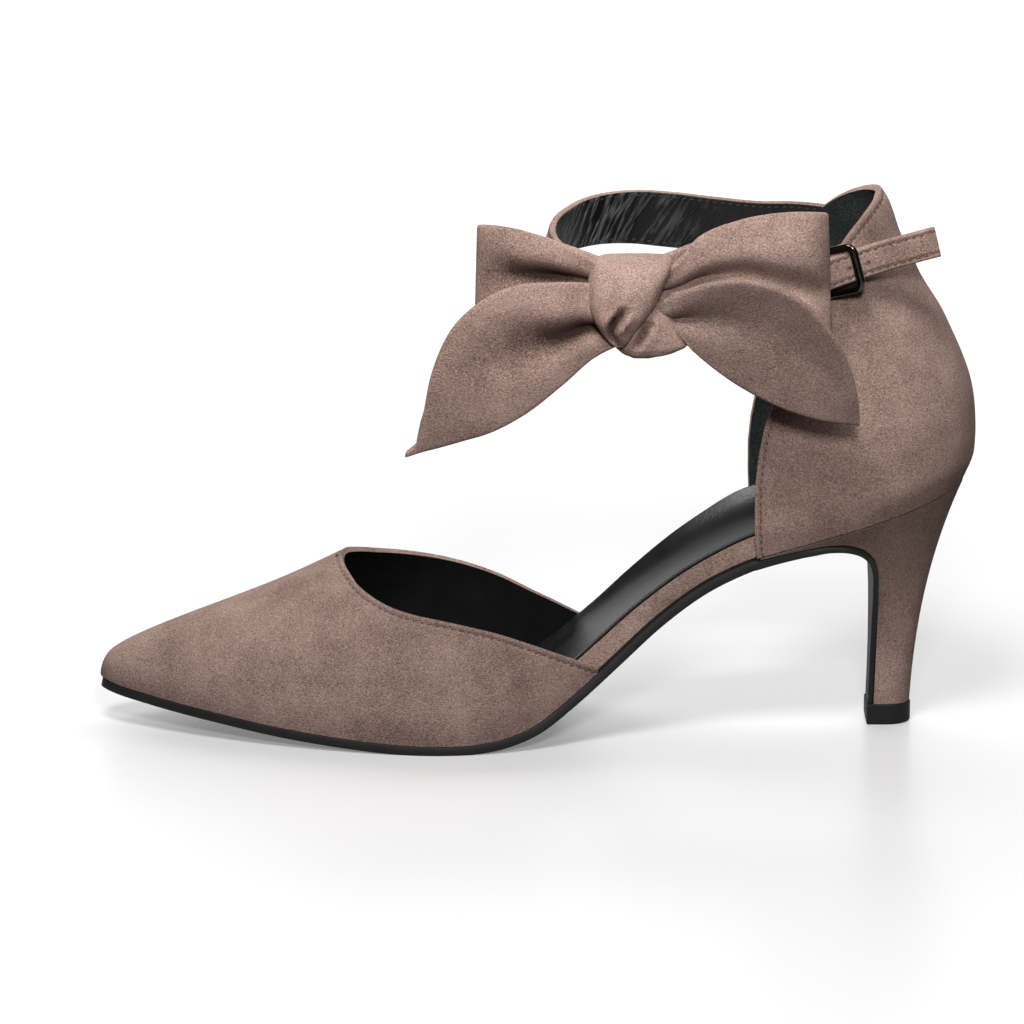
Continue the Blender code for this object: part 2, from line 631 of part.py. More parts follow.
def build_vamp():
    """The front shell, open at the throat, along the topline and underneath."""
    shares = np.linspace(0.0, 1.0, VAMP_COLUMNS + 1)
    bm = bmesh.new()
    tip = point(bm, vamp_place(0.0, LATERAL, 0.0))
    toe_rows = []
    for x in THROAT_X * np.linspace(0.0, 1.0, VAMP_TOE_ROWS + 1)[1:] ** VAMP_TOE_CROWDING:
        lateral = [point(bm, vamp_place(x, LATERAL, share)) for share in shares]
        medial = [point(bm, vamp_place(x, MEDIAL, share)) for share in shares[-2::-1]]
        toe_rows.append(lateral + medial)
    first = toe_rows[0]
    for k in range(len(first) - 1):
        bm.faces.new((first[k], first[k + 1], tip))
    skin(bm, toe_rows)
    throat = toe_rows[-1]
    lateral_rows = [throat[:VAMP_COLUMNS + 1]]
    medial_rows = [throat[VAMP_COLUMNS:]]
    wing_shares = np.linspace(0.0, 1.0, VAMP_WING_ROWS + 1)[1:] ** VAMP_WING_CROWDING
    for x in THROAT_X + (VAMP_END_X - THROAT_X) * wing_shares:
        lateral_rows.append([point(bm, vamp_place(x, LATERAL, share)) for share in shares])
        medial_rows.append([point(bm, vamp_place(x, MEDIAL, share)) for share in shares[::-1]])
    skin(bm, lateral_rows)
    skin(bm, medial_rows)
    bmesh.ops.recalc_face_normals(bm, faces=bm.faces)
    face_outwards(bm)
    vamp = add_object("vamp", bm, SUEDE)
    thicken(vamp, VAMP_WALL, -1.0)
    return vamp


def face_outwards(bm):
    """Turn a shell round if its highest face looks down."""
    bm.normal_update()
    highest = max(bm.faces, key=lambda face: face.calc_center_median().z * abs(face.normal.z))
    if highest.normal.z < 0.0:
        bmesh.ops.reverse_faces(bm, faces=bm.faces)


def counter_place(row, side, share):
    """A place on the counter: share 0 is at the back, share 1 at the front edge."""
    front = row.front_lateral if side == LATERAL else row.front_medial
    side_x = row.back - row.nose
    turn = math.acos(max(0.0, 1.0 - (row.back - front) / row.nose))
    straight = max(0.0, side_x - front)
    run = share * (row.nose * turn + straight)
    if run <= row.nose * turn:
        angle = run / row.nose
        x = row.back - row.nose * (1.0 - math.cos(angle))
        y = row.half * math.sin(angle)
    else:
        x = side_x - (run - row.nose * turn)
        y = row.half * half_width(min(x, HEEL_NOSE_X), side) / SEAT_HALF_WIDTH
    lowest, highest = COUNTER[0].level, COUNTER[-1].level
    settle = ((highest - row.level) / (highest - lowest)) ** COUNTER_LEVEL_POWER
    return x, side * y, row.level + GAP + (last_z(x) - last_z(COUNTER[0].back)) * settle


def build_counter():
    """The back shell, with the ears that carry the strap and the buckle."""
    shares = np.linspace(0.0, 1.0, COUNTER_COLUMNS // 2 + 1)
    bm = bmesh.new()
    rows = []
    for row in COUNTER:
        lateral = [point(bm, counter_place(row, LATERAL, share)) for share in shares[::-1]]
        medial = [point(bm, counter_place(row, MEDIAL, share)) for share in shares[1:]]
        rows.append(lateral + medial)
    skin(bm, rows)
    counter = add_object("counter", bm, SUEDE)
    thicken(counter, COUNTER_WALL, -1.0)
    return counter


def strap_rings(outside, inside, margin):
    """Cross sections of the strap, with the distances from its middle line to its two faces."""
    rows = resample(STRAP, STRAP_STATIONS)
    along = np.gradient(rows[:, :3], axis=0)
    rings = []
    for (x, y, z, width, lean), step in zip(rows, along):
        middle = Vector((x, y, z))
        run = Vector(step).normalized()
        level_out = run.cross(Vector((0.0, 0.0, 1.0))).normalized()
        upright = level_out.cross(run)
        tilt = math.radians(lean)
        out = level_out * math.cos(tilt) + upright * math.sin(tilt)
        across = (upright * math.cos(tilt) - level_out * math.sin(tilt)) * (width / 2 + margin)
        rings.append([middle + out * outside + across, middle + out * outside - across,
                      middle - out * inside - across, middle - out * inside + across])
    return rings


def build_strap():
    """The ankle strap with its tail."""
    bm = bmesh.new()
    loft(bm, strap_rings(STRAP_THICKNESS / 2, STRAP_THICKNESS / 2, 0.0))
    return add_object("ankle_strap", bm, SUEDE)


def build_strap_cutter():
    """The strap's room, for trimming the back of the knot."""
    bm = bmesh.new()
    loft(bm, strap_rings(STRAP_THICKNESS / 2 + GAP, KNOT_STRAP_REACH, GAP))
    return add_object("strap_cutter", bm)


def build_buckle():
    """The slide buckle: a rounded rectangle of flattened bar."""
    reach_u = (BUCKLE_LENGTH - BUCKLE_BAR) / 2
    reach_v = (BUCKLE_HEIGHT - BUCKLE_BAR) / 2
    path = []
    for quarter in range(4):
        side_u = (1, -1, -1, 1)[quarter]
        side_v = (1, 1, -1, -1)[quarter]
        for turn in np.linspace(0.0, math.pi / 2, BUCKLE_CORNER_STEPS):
            angle = quarter * math.pi / 2 + turn
            centre = Vector((side_u * (reach_u - BUCKLE_CORNER), side_v * (reach_v - BUCKLE_CORNER)))
            out = Vector((math.cos(angle), math.sin(angle)))
            path.append((centre + out * BUCKLE_CORNER, out))
    half_step = math.pi / BUCKLE_SECTION_POINTS
    section = []
    for turn in np.linspace(0.0, 2 * math.pi, BUCKLE_SECTION_POINTS + 1)[:-1] + half_step:
        section.append((BUCKLE_BAR / 2 * math.cos(turn) / math.cos(half_step),
                        BUCKLE_DEPTH / 2 * math.sin(turn) / math.cos(half_step)))
    bm = bmesh.new()
    loops = []
    for middle, out in path:
        loops.append([point(bm, (*(middle + out * wide), deep)) for wide, deep in section])
    skin(bm, [loop + loop[:1] for loop in loops + loops[:1]])
    bmesh.ops.recalc_face_normals(bm, faces=bm.faces)
    buckle = add_object("buckle", bm, GUNMETAL)
    buckle.rotation_euler = (math.pi / 2, -math.radians(BUCKLE_RISE_DEG), math.radians(BUCKLE_PLAN_DEG))
    buckle.location = Vector(BUCKLE_CENTRE) * MM
    return buckle


def build_knot_body(name, rows, grow, finish):
    """A rounded lump through level sections, grown by a distance on every side."""
    middle_z = (rows[0].z + rows[-1].z) / 2
    rings = []
    for row in rows:
        centre_x = (row.left + row.right) / 2
        centre_y = (row.front + row.back) / 2
        reach_x = (row.right - row.left) / 2 + grow
        reach_y = (row.back - row.front) / 2 + grow
        z = row.z + (grow if row.z > middle_z else -grow)
        ring = []
        for turn in np.linspace(0.0, 2 * math.pi, KNOT_POINTS + 1)[:-1]:
            cos, sin = math.cos(turn), math.sin(turn)
            ring.append((centre_x + math.copysign(abs(cos) ** (2 / KNOT_SQUARENESS), cos) * reach_x,
                         centre_y + math.copysign(abs(sin) ** (2 / KNOT_SQUARENESS), sin) * reach_y, z))
        rings.append(ring)
    bm = bmesh.new()
    loft(bm, rings)
    bmesh.ops.triangulate(bm, faces=bm.faces)
    return add_object(name, bm, finish)


def build_knot(strap_cutter):
    """The knot: a band wrapped round the loops, with a tuck showing under it."""
    knot = build_knot_body("bow_knot", KNOT_WRAP, 0.0, SUEDE)
    cut(knot, build_knot_body("knot_tuck_cutter", KNOT_TUCK, 0.0, None), "UNION")
    cut(knot, strap_cutter)
    return knot


def build_ribbon(name, folds, knot_cutters):
    """A ribbon through its folds, trimmed where it enters the knot."""
    rows = resample(folds, (len(folds) - 1) * RIBBON_ROWS_PER_FOLD + 1)
    bm = bmesh.new()
    grid = []
    for row in rows:
        fold = Fold(*row)
        up = Vector((fold.up_x, fold.up_y, fold.up_z))
        low = Vector((fold.low_x, fold.low_y, fold.low_z))
        line = []
        for share in np.linspace(0.0, 1.0, RIBBON_COLUMNS + 1):
            bow = Vector((0.0, -fold.belly * 4.0 * share * (1.0 - share), 0.0))
            line.append(point(bm, low.lerp(up, share) + bow))
        grid.append(line)
    skin(bm, grid)
    ribbon = add_object(name, bm, SUEDE)
    thicken(ribbon, RIBBON_THICKNESS, 0.0)
    for cutter in knot_cutters:
        cut(ribbon, cutter)
    return ribbon


def stand_at_origin(pieces):
    """Put the middle of the shoe's box over the origin, with the floor at zero."""
    bpy.context.view_layer.update()
    graph = bpy.context.evaluated_depsgraph_get()
    corners = []
    for piece in pieces:
        shape = piece.evaluated_get(graph)
        corners += [piece.matrix_world @ vertex.co for vertex in shape.data.vertices]
    places = np.array(corners)
    low, high = places.min(axis=0), places.max(axis=0)
    root = bpy.data.objects.new("shoe", None)
    for thing in list(bpy.context.scene.collection.objects):
        thing.parent = root
    bpy.context.scene.collection.objects.link(root)
    root.location = (-(low[0] + high[0]) / 2, -(low[1] + high[1]) / 2, 0.0)


def main():
    """Build the shoe."""
    for thing in list(bpy.data.objects):
        bpy.data.objects.remove(thing, do_unlink=True)
    pieces = [build_outsole(), build_heel(), build_top_piece(), build_insole_board(), build_insole_sock(),
              build_vamp(), build_counter(), build_strap(), build_buckle()]
    pieces.append(build_knot(build_strap_cutter()))
    knot_cutters = [build_knot_body("wrap_room_cutter", KNOT_WRAP, GAP, None),
                    build_knot_body("tuck_room_cutter", KNOT_TUCK, GAP, None)]
    pieces.append(build_ribbon("bow_loop_toe", TOE_LOOP, knot_cutters))
    pieces.append(build_ribbon("bow_loop_heel", HEEL_LOOP, knot_cutters))
    pieces.append(build_ribbon("bow_tail_toe", TOE_TAIL, knot_cutters))
    pieces.append(build_ribbon("bow_tail_heel", HEEL_TAIL, knot_cutters))
    stand_at_origin(pieces)


main()
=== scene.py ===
"""Looks for a left court shoe in taupe suede with an ankle strap, a tied bow and a slide buckle.

Places are worked out in shoe millimetres: x runs from the toe tip to the heel, y from the lateral side
(minus) to the medial side (plus), and z up from the floor. A Workshop turns them into the frame's metres.
"""
from __future__ import annotations

import logging
import math
from dataclasses import dataclass, field
from enum import Enum
from typing import NamedTuple, Sequence

import bmesh
import bpy
import numpy as np
from mathutils import Matrix, Vector

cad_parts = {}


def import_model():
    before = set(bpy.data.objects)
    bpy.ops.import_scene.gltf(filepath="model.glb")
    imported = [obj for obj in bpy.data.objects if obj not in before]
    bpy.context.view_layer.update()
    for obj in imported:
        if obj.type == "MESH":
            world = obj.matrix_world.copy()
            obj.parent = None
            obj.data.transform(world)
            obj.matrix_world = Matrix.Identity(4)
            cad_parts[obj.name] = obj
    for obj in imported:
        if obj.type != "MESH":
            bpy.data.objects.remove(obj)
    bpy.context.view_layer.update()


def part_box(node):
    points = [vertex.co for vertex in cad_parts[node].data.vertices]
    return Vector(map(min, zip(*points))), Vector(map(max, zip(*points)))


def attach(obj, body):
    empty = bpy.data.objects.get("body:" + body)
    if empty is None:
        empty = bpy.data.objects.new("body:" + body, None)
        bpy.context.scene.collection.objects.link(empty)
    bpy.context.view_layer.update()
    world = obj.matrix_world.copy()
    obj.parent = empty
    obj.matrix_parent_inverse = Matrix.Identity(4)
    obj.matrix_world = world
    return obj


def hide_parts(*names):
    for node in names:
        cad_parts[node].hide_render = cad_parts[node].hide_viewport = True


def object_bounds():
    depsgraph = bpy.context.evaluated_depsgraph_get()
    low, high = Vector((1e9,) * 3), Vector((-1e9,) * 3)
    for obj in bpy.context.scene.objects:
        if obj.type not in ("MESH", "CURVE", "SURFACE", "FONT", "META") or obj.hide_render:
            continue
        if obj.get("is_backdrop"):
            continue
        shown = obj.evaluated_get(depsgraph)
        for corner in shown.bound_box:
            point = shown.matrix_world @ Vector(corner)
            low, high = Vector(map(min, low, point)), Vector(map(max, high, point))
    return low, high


LOG = logging.getLogger("court_shoe")
MM = 0.001
BODY = "root"
IMAGE_PIXELS = 1024
TINY = 1e-9
WHITE = (1.0, 1.0, 1.0, 1.0)

Colour = tuple[float, float, float]


class Side(Enum):
    """The two sides of the shoe, with the sign of their y."""

    LATERAL = -1.0
    MEDIAL = 1.0

    @property
    def column(self) -> str:
        """The name of this side's column in a table."""
        return self.name.lower()


class Slot(Enum):
    """The record's material slots."""

    SUEDE = "suede"
    LINING = "lining"
    SOLE = "sole"
    RUBBER = "rubber"
    GUNMETAL = "gunmetal"


@dataclass(frozen=True)
class Curve:
    """A curve with no kinks through a table's values: cubic pieces that share their slopes."""

    places: np.ndarray
    values: np.ndarray

    @classmethod
    def of(cls, table: Sequence[NamedTuple], along: str, name: str) -> Curve:
        """Make a curve from two named columns of a table.

        Args:
            table: rows with named columns.
            along: the column that gives the places.
            name: the column that gives the values.

        Returns:
            The curve.
        """
        places = np.array([getattr(row, along) for row in table], dtype=float)
        values = np.array([getattr(row, name) for row in table], dtype=float)
        return cls(places, values)

    def at(self, x: np.ndarray) -> np.ndarray:
        """Read the curve.

        Args:
            x: places along the table.

        Returns:
            The values there.
        """
        slopes = np.gradient(self.values, self.places)
        index = np.clip(np.searchsorted(self.places, x) - 1, 0, len(self.places) - 2)
        step = self.places[index + 1] - self.places[index]
        t = (x - self.places[index]) / step
        start = (1 + 2 * t) * (1 - t) ** 2 * self.values[index] + t * (1 - t) ** 2 * step * slopes[index]
        end = t * t * (3 - 2 * t) * self.values[index + 1] - t * t * (1 - t) * step * slopes[index + 1]
        return start + end

    def root_at(self, x: np.ndarray) -> np.ndarray:
        """Read a size that rounds off to nothing at one end.

        Args:
            x: places along the table.

        Returns:
            The sizes there.
        """
        squares = Curve(self.places, self.values ** 2)
        return np.sqrt(np.maximum(0.0, squares.at(x)))


def resample(table: Sequence[NamedTuple], count: int) -> np.ndarray:
    """Join a table's rows by a smooth curve.

    Args:
        table: rows of numbers.
        count: how many rows to return.

    Returns:
        Rows spaced evenly along the curve.
    """
    rows = np.array(table, dtype=float)
    places = np.concatenate([[0.0], np.cumsum(np.linalg.norm(np.diff(rows, axis=0), axis=1))])
    even = np.linspace(0.0, places[-1], count)
    return np.column_stack([Curve(places, rows[:, k]).at(even) for k in range(rows.shape[1])])


def spaced(path: np.ndarray, count: int) -> np.ndarray:
    """Space the points of a path evenly.

    Args:
        path: points, one a row.
        count: how many points to return.

    Returns:
        The points, the same distance apart.
    """
    run = np.concatenate([[0.0], np.cumsum(np.linalg.norm(np.diff(path, axis=0), axis=1))])
    even = np.linspace(0.0, run[-1], count)
    return np.column_stack([np.interp(even, run, path[:, k]) for k in range(path.shape[1])])


def unit(vectors: np.ndarray) -> np.ndarray:
    """Vectors of length one along the last axis."""
    return vectors / np.maximum(TINY, np.linalg.norm(vectors, axis=-1, keepdims=True))


def eased(count: int) -> np.ndarray:
    """Shares from 0 to 1, crowded towards both ends."""
    return 0.5 * (1.0 - np.cos(np.linspace(0.0, math.pi, count)))


def full_turn(count: int) -> np.ndarray:
    """Even angles once round, the last one a step before the first."""
    return np.linspace(0.0, 2 * math.pi, count + 1)[:-1]


def squared_round(turns: np.ndarray, power: float) -> tuple[np.ndarray, np.ndarray]:
    """A circle with squarer corners.

    Args:
        turns: angles round it.
        power: 1 for a circle, and less for squarer corners.

    Returns:
        The two coordinates, from -1 to 1.
    """
    first, second = np.cos(turns), np.sin(turns)
    return np.sign(first) * np.abs(first) ** power, np.sign(second) * np.abs(second) ** power


def distance_to(path: np.ndarray, places: np.ndarray) -> np.ndarray:
    """Distance from places to the nearest point of a closely spaced path.

    Args:
        path: the path's points.
        places: an array whose last axis is a place.

    Returns:
        One distance for each place.
    """
    flat = places.reshape(-1, 3)
    nearest = np.full(len(flat), np.inf)
    for spot in path:
        nearest = np.minimum(nearest, np.linalg.norm(flat - spot, axis=1))
    return nearest.reshape(places.shape[:-1])


class Noise(NamedTuple):
    """A noise pattern: cells per metre or per unit of a UV map, finer layers, and how strong those are."""

    scale: float
    detail: float = 2.0
    roughness: float = 0.5


class Relief(NamedTuple):
    """A bump: how high 1 stands, and the share of it that shows."""

    depth_mm: float
    strength: float


class NodeBench:
    """A material's node tree, with short calls for adding and joining nodes."""

    def __init__(self, name: str) -> None:
        """Start a material that has only its shader and output.

        Args:
            name: the material's name.
        """
        self.material = bpy.data.materials.new(name)
        self.material.use_nodes = True
        self.tree = self.material.node_tree
        self.shader = self.tree.nodes["Principled BSDF"]

    def add(self, kind: str, **settings: object) -> bpy.types.Node:
        """Add a node.

        Args:
            kind: the node's type without its ShaderNode prefix.
            settings: attributes of the node.

        Returns:
            The node.
        """
        node = self.tree.nodes.new("ShaderNode" + kind)
        for name, value in settings.items():
            setattr(node, name, value)
        return node

    def feed(self, source: bpy.types.NodeSocket | float, target: bpy.types.NodeSocket) -> None:
        """Join an output to an input, or set the input's own value.

        Args:
            source: an output, or a number.
            target: the input.
        """
        if isinstance(source, (int, float)):
            target.default_value = source
        else:
            self.tree.links.new(source, target)

    def math(self, operation: str, *terms: bpy.types.NodeSocket | float) -> bpy.types.NodeSocket:
        """Add a Math node.

        Args:
            operation: its operation.
            terms: its inputs in order.

        Returns:
            Its output.
        """
        node = self.add("Math", operation=operation)
        for term, target in zip(terms, node.inputs):
            self.feed(term, target)
        return node.outputs[0]

    def place(self, space: str = "Object") -> bpy.types.NodeSocket:
        """Where a point is, by the Texture Coordinate output of that name."""
        return self.add("TexCoord").outputs[space]

    def mapped(self, vector: bpy.types.NodeSocket, stretch: Sequence[float],
               turn_deg: float = 0.0) -> bpy.types.NodeSocket:
        """Coordinates stretched along their axes, then turned about the third one.

        Args:
            vector: the coordinates.
            stretch: scale along the three axes.
            turn_deg: the turn.

        Returns:
            The vector output.
        """
        mapping = self.add("Mapping")
        mapping.inputs["Scale"].default_value = stretch
        mapping.inputs["Rotation"].default_value = (0.0, 0.0, math.radians(turn_deg))
        self.feed(vector, mapping.inputs["Vector"])
        return mapping.outputs["Vector"]

    def mark(self, name: str) -> bpy.types.NodeSocket:
        """A value that the mesh carries, by its attribute's name."""
        return self.add("Attribute", attribute_name=name).outputs["Fac"]

    def noise(self, vector: bpy.types.NodeSocket, pattern: Noise) -> bpy.types.NodeSocket:
        """Noise from 0 to 1.

        Args:
            vector: where it is read.
            pattern: its scale and its finer layers.

        Returns:
            Its value.
        """
        node = self.add("TexNoise")
        self.feed(vector, node.inputs["Vector"])
        node.inputs["Scale"].default_value = pattern.scale
        node.inputs["Detail"].default_value = pattern.detail
        node.inputs["Roughness"].default_value = pattern.roughness
        return node.outputs["Fac"]

    def weigh(self, first: bpy.types.NodeSocket, share: float,
              second: bpy.types.NodeSocket) -> bpy.types.NodeSocket:
        """Add a share of one value to the rest of another.

        Args:
            first: the value that the share is of.
            share: from 0 to 1.
            second: the value that gives the rest.

        Returns:
            The sum.
        """
        rest = self.math("MULTIPLY", second, 1.0 - share)
        return self.math("ADD", self.math("MULTIPLY", first, share), rest)

    def paint(self, value: bpy.types.NodeSocket, stops: Sequence[float], colours: Sequence[Colour]) -> None:
        """Turn a value into the shader's colour.

        Args:
            value: from 0 to 1.
            stops: places on the ramp, in order.
            colours: the colour at each.
        """
        node = self.add("ValToRGB")
        elements = node.color_ramp.elements
        while len(elements) < len(stops):
            elements.new(1.0)
        for element, place, colour in zip(elements, stops, colours):
            element.position = place
            element.color = (*colour, 1.0)
        self.feed(value, node.inputs["Fac"])
        self.feed(node.outputs["Color"], self.shader.inputs["Base Color"])

    def tune(self, settings: dict[str, float | Sequence[float]]) -> None:
        """Set the shader's own sockets.

        Args:
            settings: a value for each socket's name.
        """
        for name, value in settings.items():
            self.shader.inputs[name].default_value = value

    def bump(self, height: bpy.types.NodeSocket, relief: Relief) -> None:
        """Raise the surface, on top of any bump it already has.

        Args:
            height: from 0 to 1.
            relief: how high 1 stands.
        """
        node = self.add("Bump")
        node.inputs["Distance"].default_value = relief.depth_mm * MM
        node.inputs["Strength"].default_value = relief.strength
        self.feed(height, node.inputs["Height"])
        target = self.shader.inputs["Normal"]
        if target.links:
            self.feed(target.links[0].from_socket, node.inputs["Normal"])
        self.feed(node.outputs["Normal"], target)

    def near(self, value: bpy.types.NodeSocket, place: float, reach: float) -> bpy.types.NodeSocket:
        """1 where a value is at a place, falling to 0 within a reach.

        Args:
            value: the value.
            place: where the result is 1.
            reach: how far it takes to fall to 0.

        Returns:
            The result.
        """
        apart = self.math("ABSOLUTE", self.math("SUBTRACT", value, place))
        return self.math("MAXIMUM", self.math("SUBTRACT", 1.0, self.math("DIVIDE", apart, reach)), 0.0)


@dataclass(frozen=True)
class Suede:
    """Napped suede: a fine grain over soft patches, with painted shade in folds and along a stitched seam's
    groove.
    """

    name: str
    deep: Colour
    dark: Colour
    middle: Colour
    light: Colour
    seam_mm: float = 0.0
    painted_crease_shade: float = 0.0
    patch: Noise = Noise(34.0, 3.0, 0.6)
    blot: Noise = Noise(120.0, 4.0, 0.6)
    grain: Noise = Noise(2600.0, 1.0, 0.7)
    fibre: Noise = Noise(1690.0, 2.0, 0.6)
    fibre_stretch: tuple[float, float, float] = (1.0, 1.0, 2.0)
    patch_share: float = 0.55
    grain_share: float = 0.6
    tone_share: float = 0.35
    tone_stops: tuple[float, float, float, float] = (0.28, 0.4, 0.5, 0.6)
    seam_reach_mm: float = 0.75
    seam_shade: float = 0.04
    blot_relief: Relief = Relief(0.7, 0.3)
    nap_relief: Relief = Relief(0.3, 0.9)
    seam_relief: Relief = Relief(0.35, 0.8)
    roughness: float = 0.95
    specular: float = 0.15
    sheen: float = 0.18
    sheen_roughness: float = 0.55

    def material(self) -> bpy.types.Material:
        """Build the material.

        Returns:
            The material.
        """
        bench = NodeBench(self.name)
        place = bench.place()
        blot = bench.noise(place, self.blot)
        tone = bench.weigh(bench.noise(place, self.patch), self.patch_share, blot)
        fibre = bench.noise(bench.mapped(place, self.fibre_stretch), self.fibre)
        speck = bench.weigh(bench.noise(place, self.grain), self.grain_share, fibre)
        value = bench.weigh(tone, self.tone_share, speck)
        bench.bump(blot, self.blot_relief)
        bench.bump(speck, self.nap_relief)
        if self.seam_mm:
            groove = bench.near(bench.mark("edge_mm"), self.seam_mm, self.seam_reach_mm)
            # The colour is darkened in the groove: painted shade along the seam.
            value = bench.math("SUBTRACT", value, bench.math("MULTIPLY", groove, self.seam_shade))
            bench.bump(bench.math("SUBTRACT", 1.0, groove), self.seam_relief)
        if self.painted_crease_shade:
            # Deeper folds are painted darker: painted shade in the crease.
            painted_shade = bench.math("MULTIPLY", bench.mark("fold_mm"), self.painted_crease_shade)
            value = bench.math("SUBTRACT", value, painted_shade)
        bench.paint(value, self.tone_stops, (self.deep, self.dark, self.middle, self.light))
        bench.tune({"Roughness": self.roughness, "Specular IOR Level": self.specular,
                    "Sheen Weight": self.sheen, "Sheen Roughness": self.sheen_roughness,
                    "Sheen Tint": (*self.light, 1.0)})
        return bench.material


@dataclass(frozen=True)
class Leather:
    """Smooth leather with a fine grain, and fine slanted wrinkles where a strap bends most, with painted
    glints along them.
    """

    name: str
    colour: Colour
    wear_and_glint: Colour
    roughness: float
    grain_mm: float = 0.08
    specular: float = 0.5
    wrinkle_mm: float = 0.0
    tone: Noise = Noise(160.0, 3.0)
    grain: Noise = Noise(1400.0)
    grain_strength: float = 0.5
    tone_share: float = 0.4
    tone_stops: tuple[float, float] = (0.3, 0.8)
    strap_mm: tuple[float, float, float] = (30.0, 215.0, 1.0)
    slant_deg: float = -32.0
    line: Noise = Noise(1.0, 3.0, 0.6)
    line_stretch: tuple[float, float, float] = (0.05, 0.4, 1.0)
    line_at: float = 0.5
    line_reach: float = 0.09
    bend_at: float = 0.37
    bend_reach: float = 0.2
    calm_share: float = 0.12

    def material(self) -> bpy.types.Material:
        """Build the material.

        Returns:
            The material.
        """
        bench = NodeBench(self.name)
        place = bench.place()
        shown = bench.noise(place, self.tone)
        bench.bump(bench.noise(place, self.grain), Relief(self.grain_mm, self.grain_strength))
        if self.wrinkle_mm:
            lines = self.wrinkles(bench)
            bench.bump(lines, Relief(self.wrinkle_mm, 1.0))
            # The wrinkle lines also lighten the colour towards the lighter tone: painted glints along the
            # wrinkles.
            shown = bench.weigh(shown, self.tone_share, lines)
        bench.paint(shown, self.tone_stops, (self.colour, self.wear_and_glint))
        bench.tune({"Roughness": self.roughness, "Specular IOR Level": self.specular})
        return bench.material

    def wrinkles(self, bench: NodeBench) -> bpy.types.NodeSocket:
        """Thin slanted lines across a strap, strongest at its bend.

        Args:
            bench: the material's bench.

        Returns:
            1 on a line and 0 between lines.
        """
        spread = bench.place("UV")
        flat = bench.mapped(spread, self.strap_mm, self.slant_deg)
        folds = bench.noise(bench.mapped(flat, self.line_stretch), self.line)
        along = bench.add("SeparateXYZ")
        bench.feed(spread, along.inputs["Vector"])
        bend = bench.near(along.outputs["Y"], self.bend_at, self.bend_reach)
        line = bench.near(folds, self.line_at, self.line_reach)
        return bench.math("MULTIPLY", line, bench.math("ADD", bend, self.calm_share))


@dataclass(frozen=True)
class Metal:
    """Dark plated metal with faint polishing marks."""

    name: str
    colour: Colour
    roughness: float
    marks: Noise = Noise(900.0)
    mark_stretch: tuple[float, float, float] = (1.0, 1.0, 6.0)
    mark_roughness: float = 0.12
    mark_stops: tuple[float, float] = (0.3, 0.8)
    mark_gain: float = 1.6

    def material(self) -> bpy.types.Material:
        """Build the material.

        Returns:
            The material.
        """
        bench = NodeBench(self.name)
        marks = bench.noise(bench.mapped(bench.place(), self.mark_stretch), self.marks)
        rough = bench.math("ADD", bench.math("MULTIPLY", marks, self.mark_roughness), self.roughness)
        bright = tuple(self.mark_gain * part for part in self.colour)
        bench.paint(marks, self.mark_stops, (self.colour, bright))
        bench.feed(rough, bench.shader.inputs["Roughness"])
        bench.tune({"Metallic": 1.0})
        return bench.material


@dataclass(frozen=True)
class Thread:
    """Sewing thread with a fine twist."""

    name: str
    dark: Colour
    light: Colour
    twist: Noise = Noise(2600.0, 1.0)
    twist_deg: float = 30.0
    twist_stops: tuple[float, float] = (0.3, 0.7)
    relief: Relief = Relief(0.1, 0.6)
    roughness: float = 0.75

    def material(self) -> bpy.types.Material:
        """Build the material.

        Returns:
            The material.
        """
        bench = NodeBench(self.name)
        twist = bench.noise(bench.mapped(bench.place(), (1.0, 1.0, 1.0), self.twist_deg), self.twist)
        bench.paint(twist, self.twist_stops, (self.dark, self.light))
        bench.bump(twist, self.relief)
        bench.tune({"Roughness": self.roughness})
        return bench.material


TAUPE_DEEP: Colour = (0.045, 0.027, 0.022)
TAUPE_DARK: Colour = (0.148, 0.094, 0.077)
TAUPE: Colour = (0.270, 0.180, 0.150)
TAUPE_LIGHT: Colour = (0.41, 0.288, 0.244)


def shade(share: float) -> tuple[Colour, Colour, Colour, Colour]:
    """The suede's deep, dark, middle and light tones made lighter or darker than the common tone, as painted
    light or shade on a piece.

    Args:
        share: 1 for the common tone.

    Returns:
        The four tones.
    """
    red, green, blue = (np.array(part) * share for part in zip(TAUPE_DEEP, TAUPE_DARK, TAUPE, TAUPE_LIGHT))
    deep, dark, middle, light = (tuple(map(float, tone)) for tone in zip(red, green, blue))
    return deep, dark, middle, light


# Lit and shaded copies of one suede: the bow is painted lighter, and the vamp, counter and heel darker, as
# painted light and shade.
BOW_SUEDE = Suede("taupe_suede_bow", *shade(1.06), painted_crease_shade=0.05)
# The heel tail's suede is darker still: painted shade for a face that turns downwards.
SHADED_TAIL_SUEDE = Suede("taupe_suede_brushed_down", *shade(0.84), painted_crease_shade=0.05)
VAMP_SUEDE = Suede("taupe_suede_vamp", *shade(0.73), seam_mm=1.5)
COUNTER_SUEDE = Suede("taupe_suede_counter", *shade(0.93), seam_mm=1.5)
STRAP_SUEDE = Suede("taupe_suede_strap", *shade(1.0), seam_mm=1.3)
HEEL_SUEDE = Suede("taupe_suede_heel", *shade(0.86))
DARK_SUEDE = Suede("black_suede_lining", (0.005, 0.005, 0.005), (0.010, 0.011, 0.011), (0.022, 0.024, 0.024),
                   (0.05, 0.054, 0.054))
LINING = Leather("black_lining_leather", (0.003, 0.003, 0.003), (0.006, 0.006, 0.006), 0.7, specular=0.15)
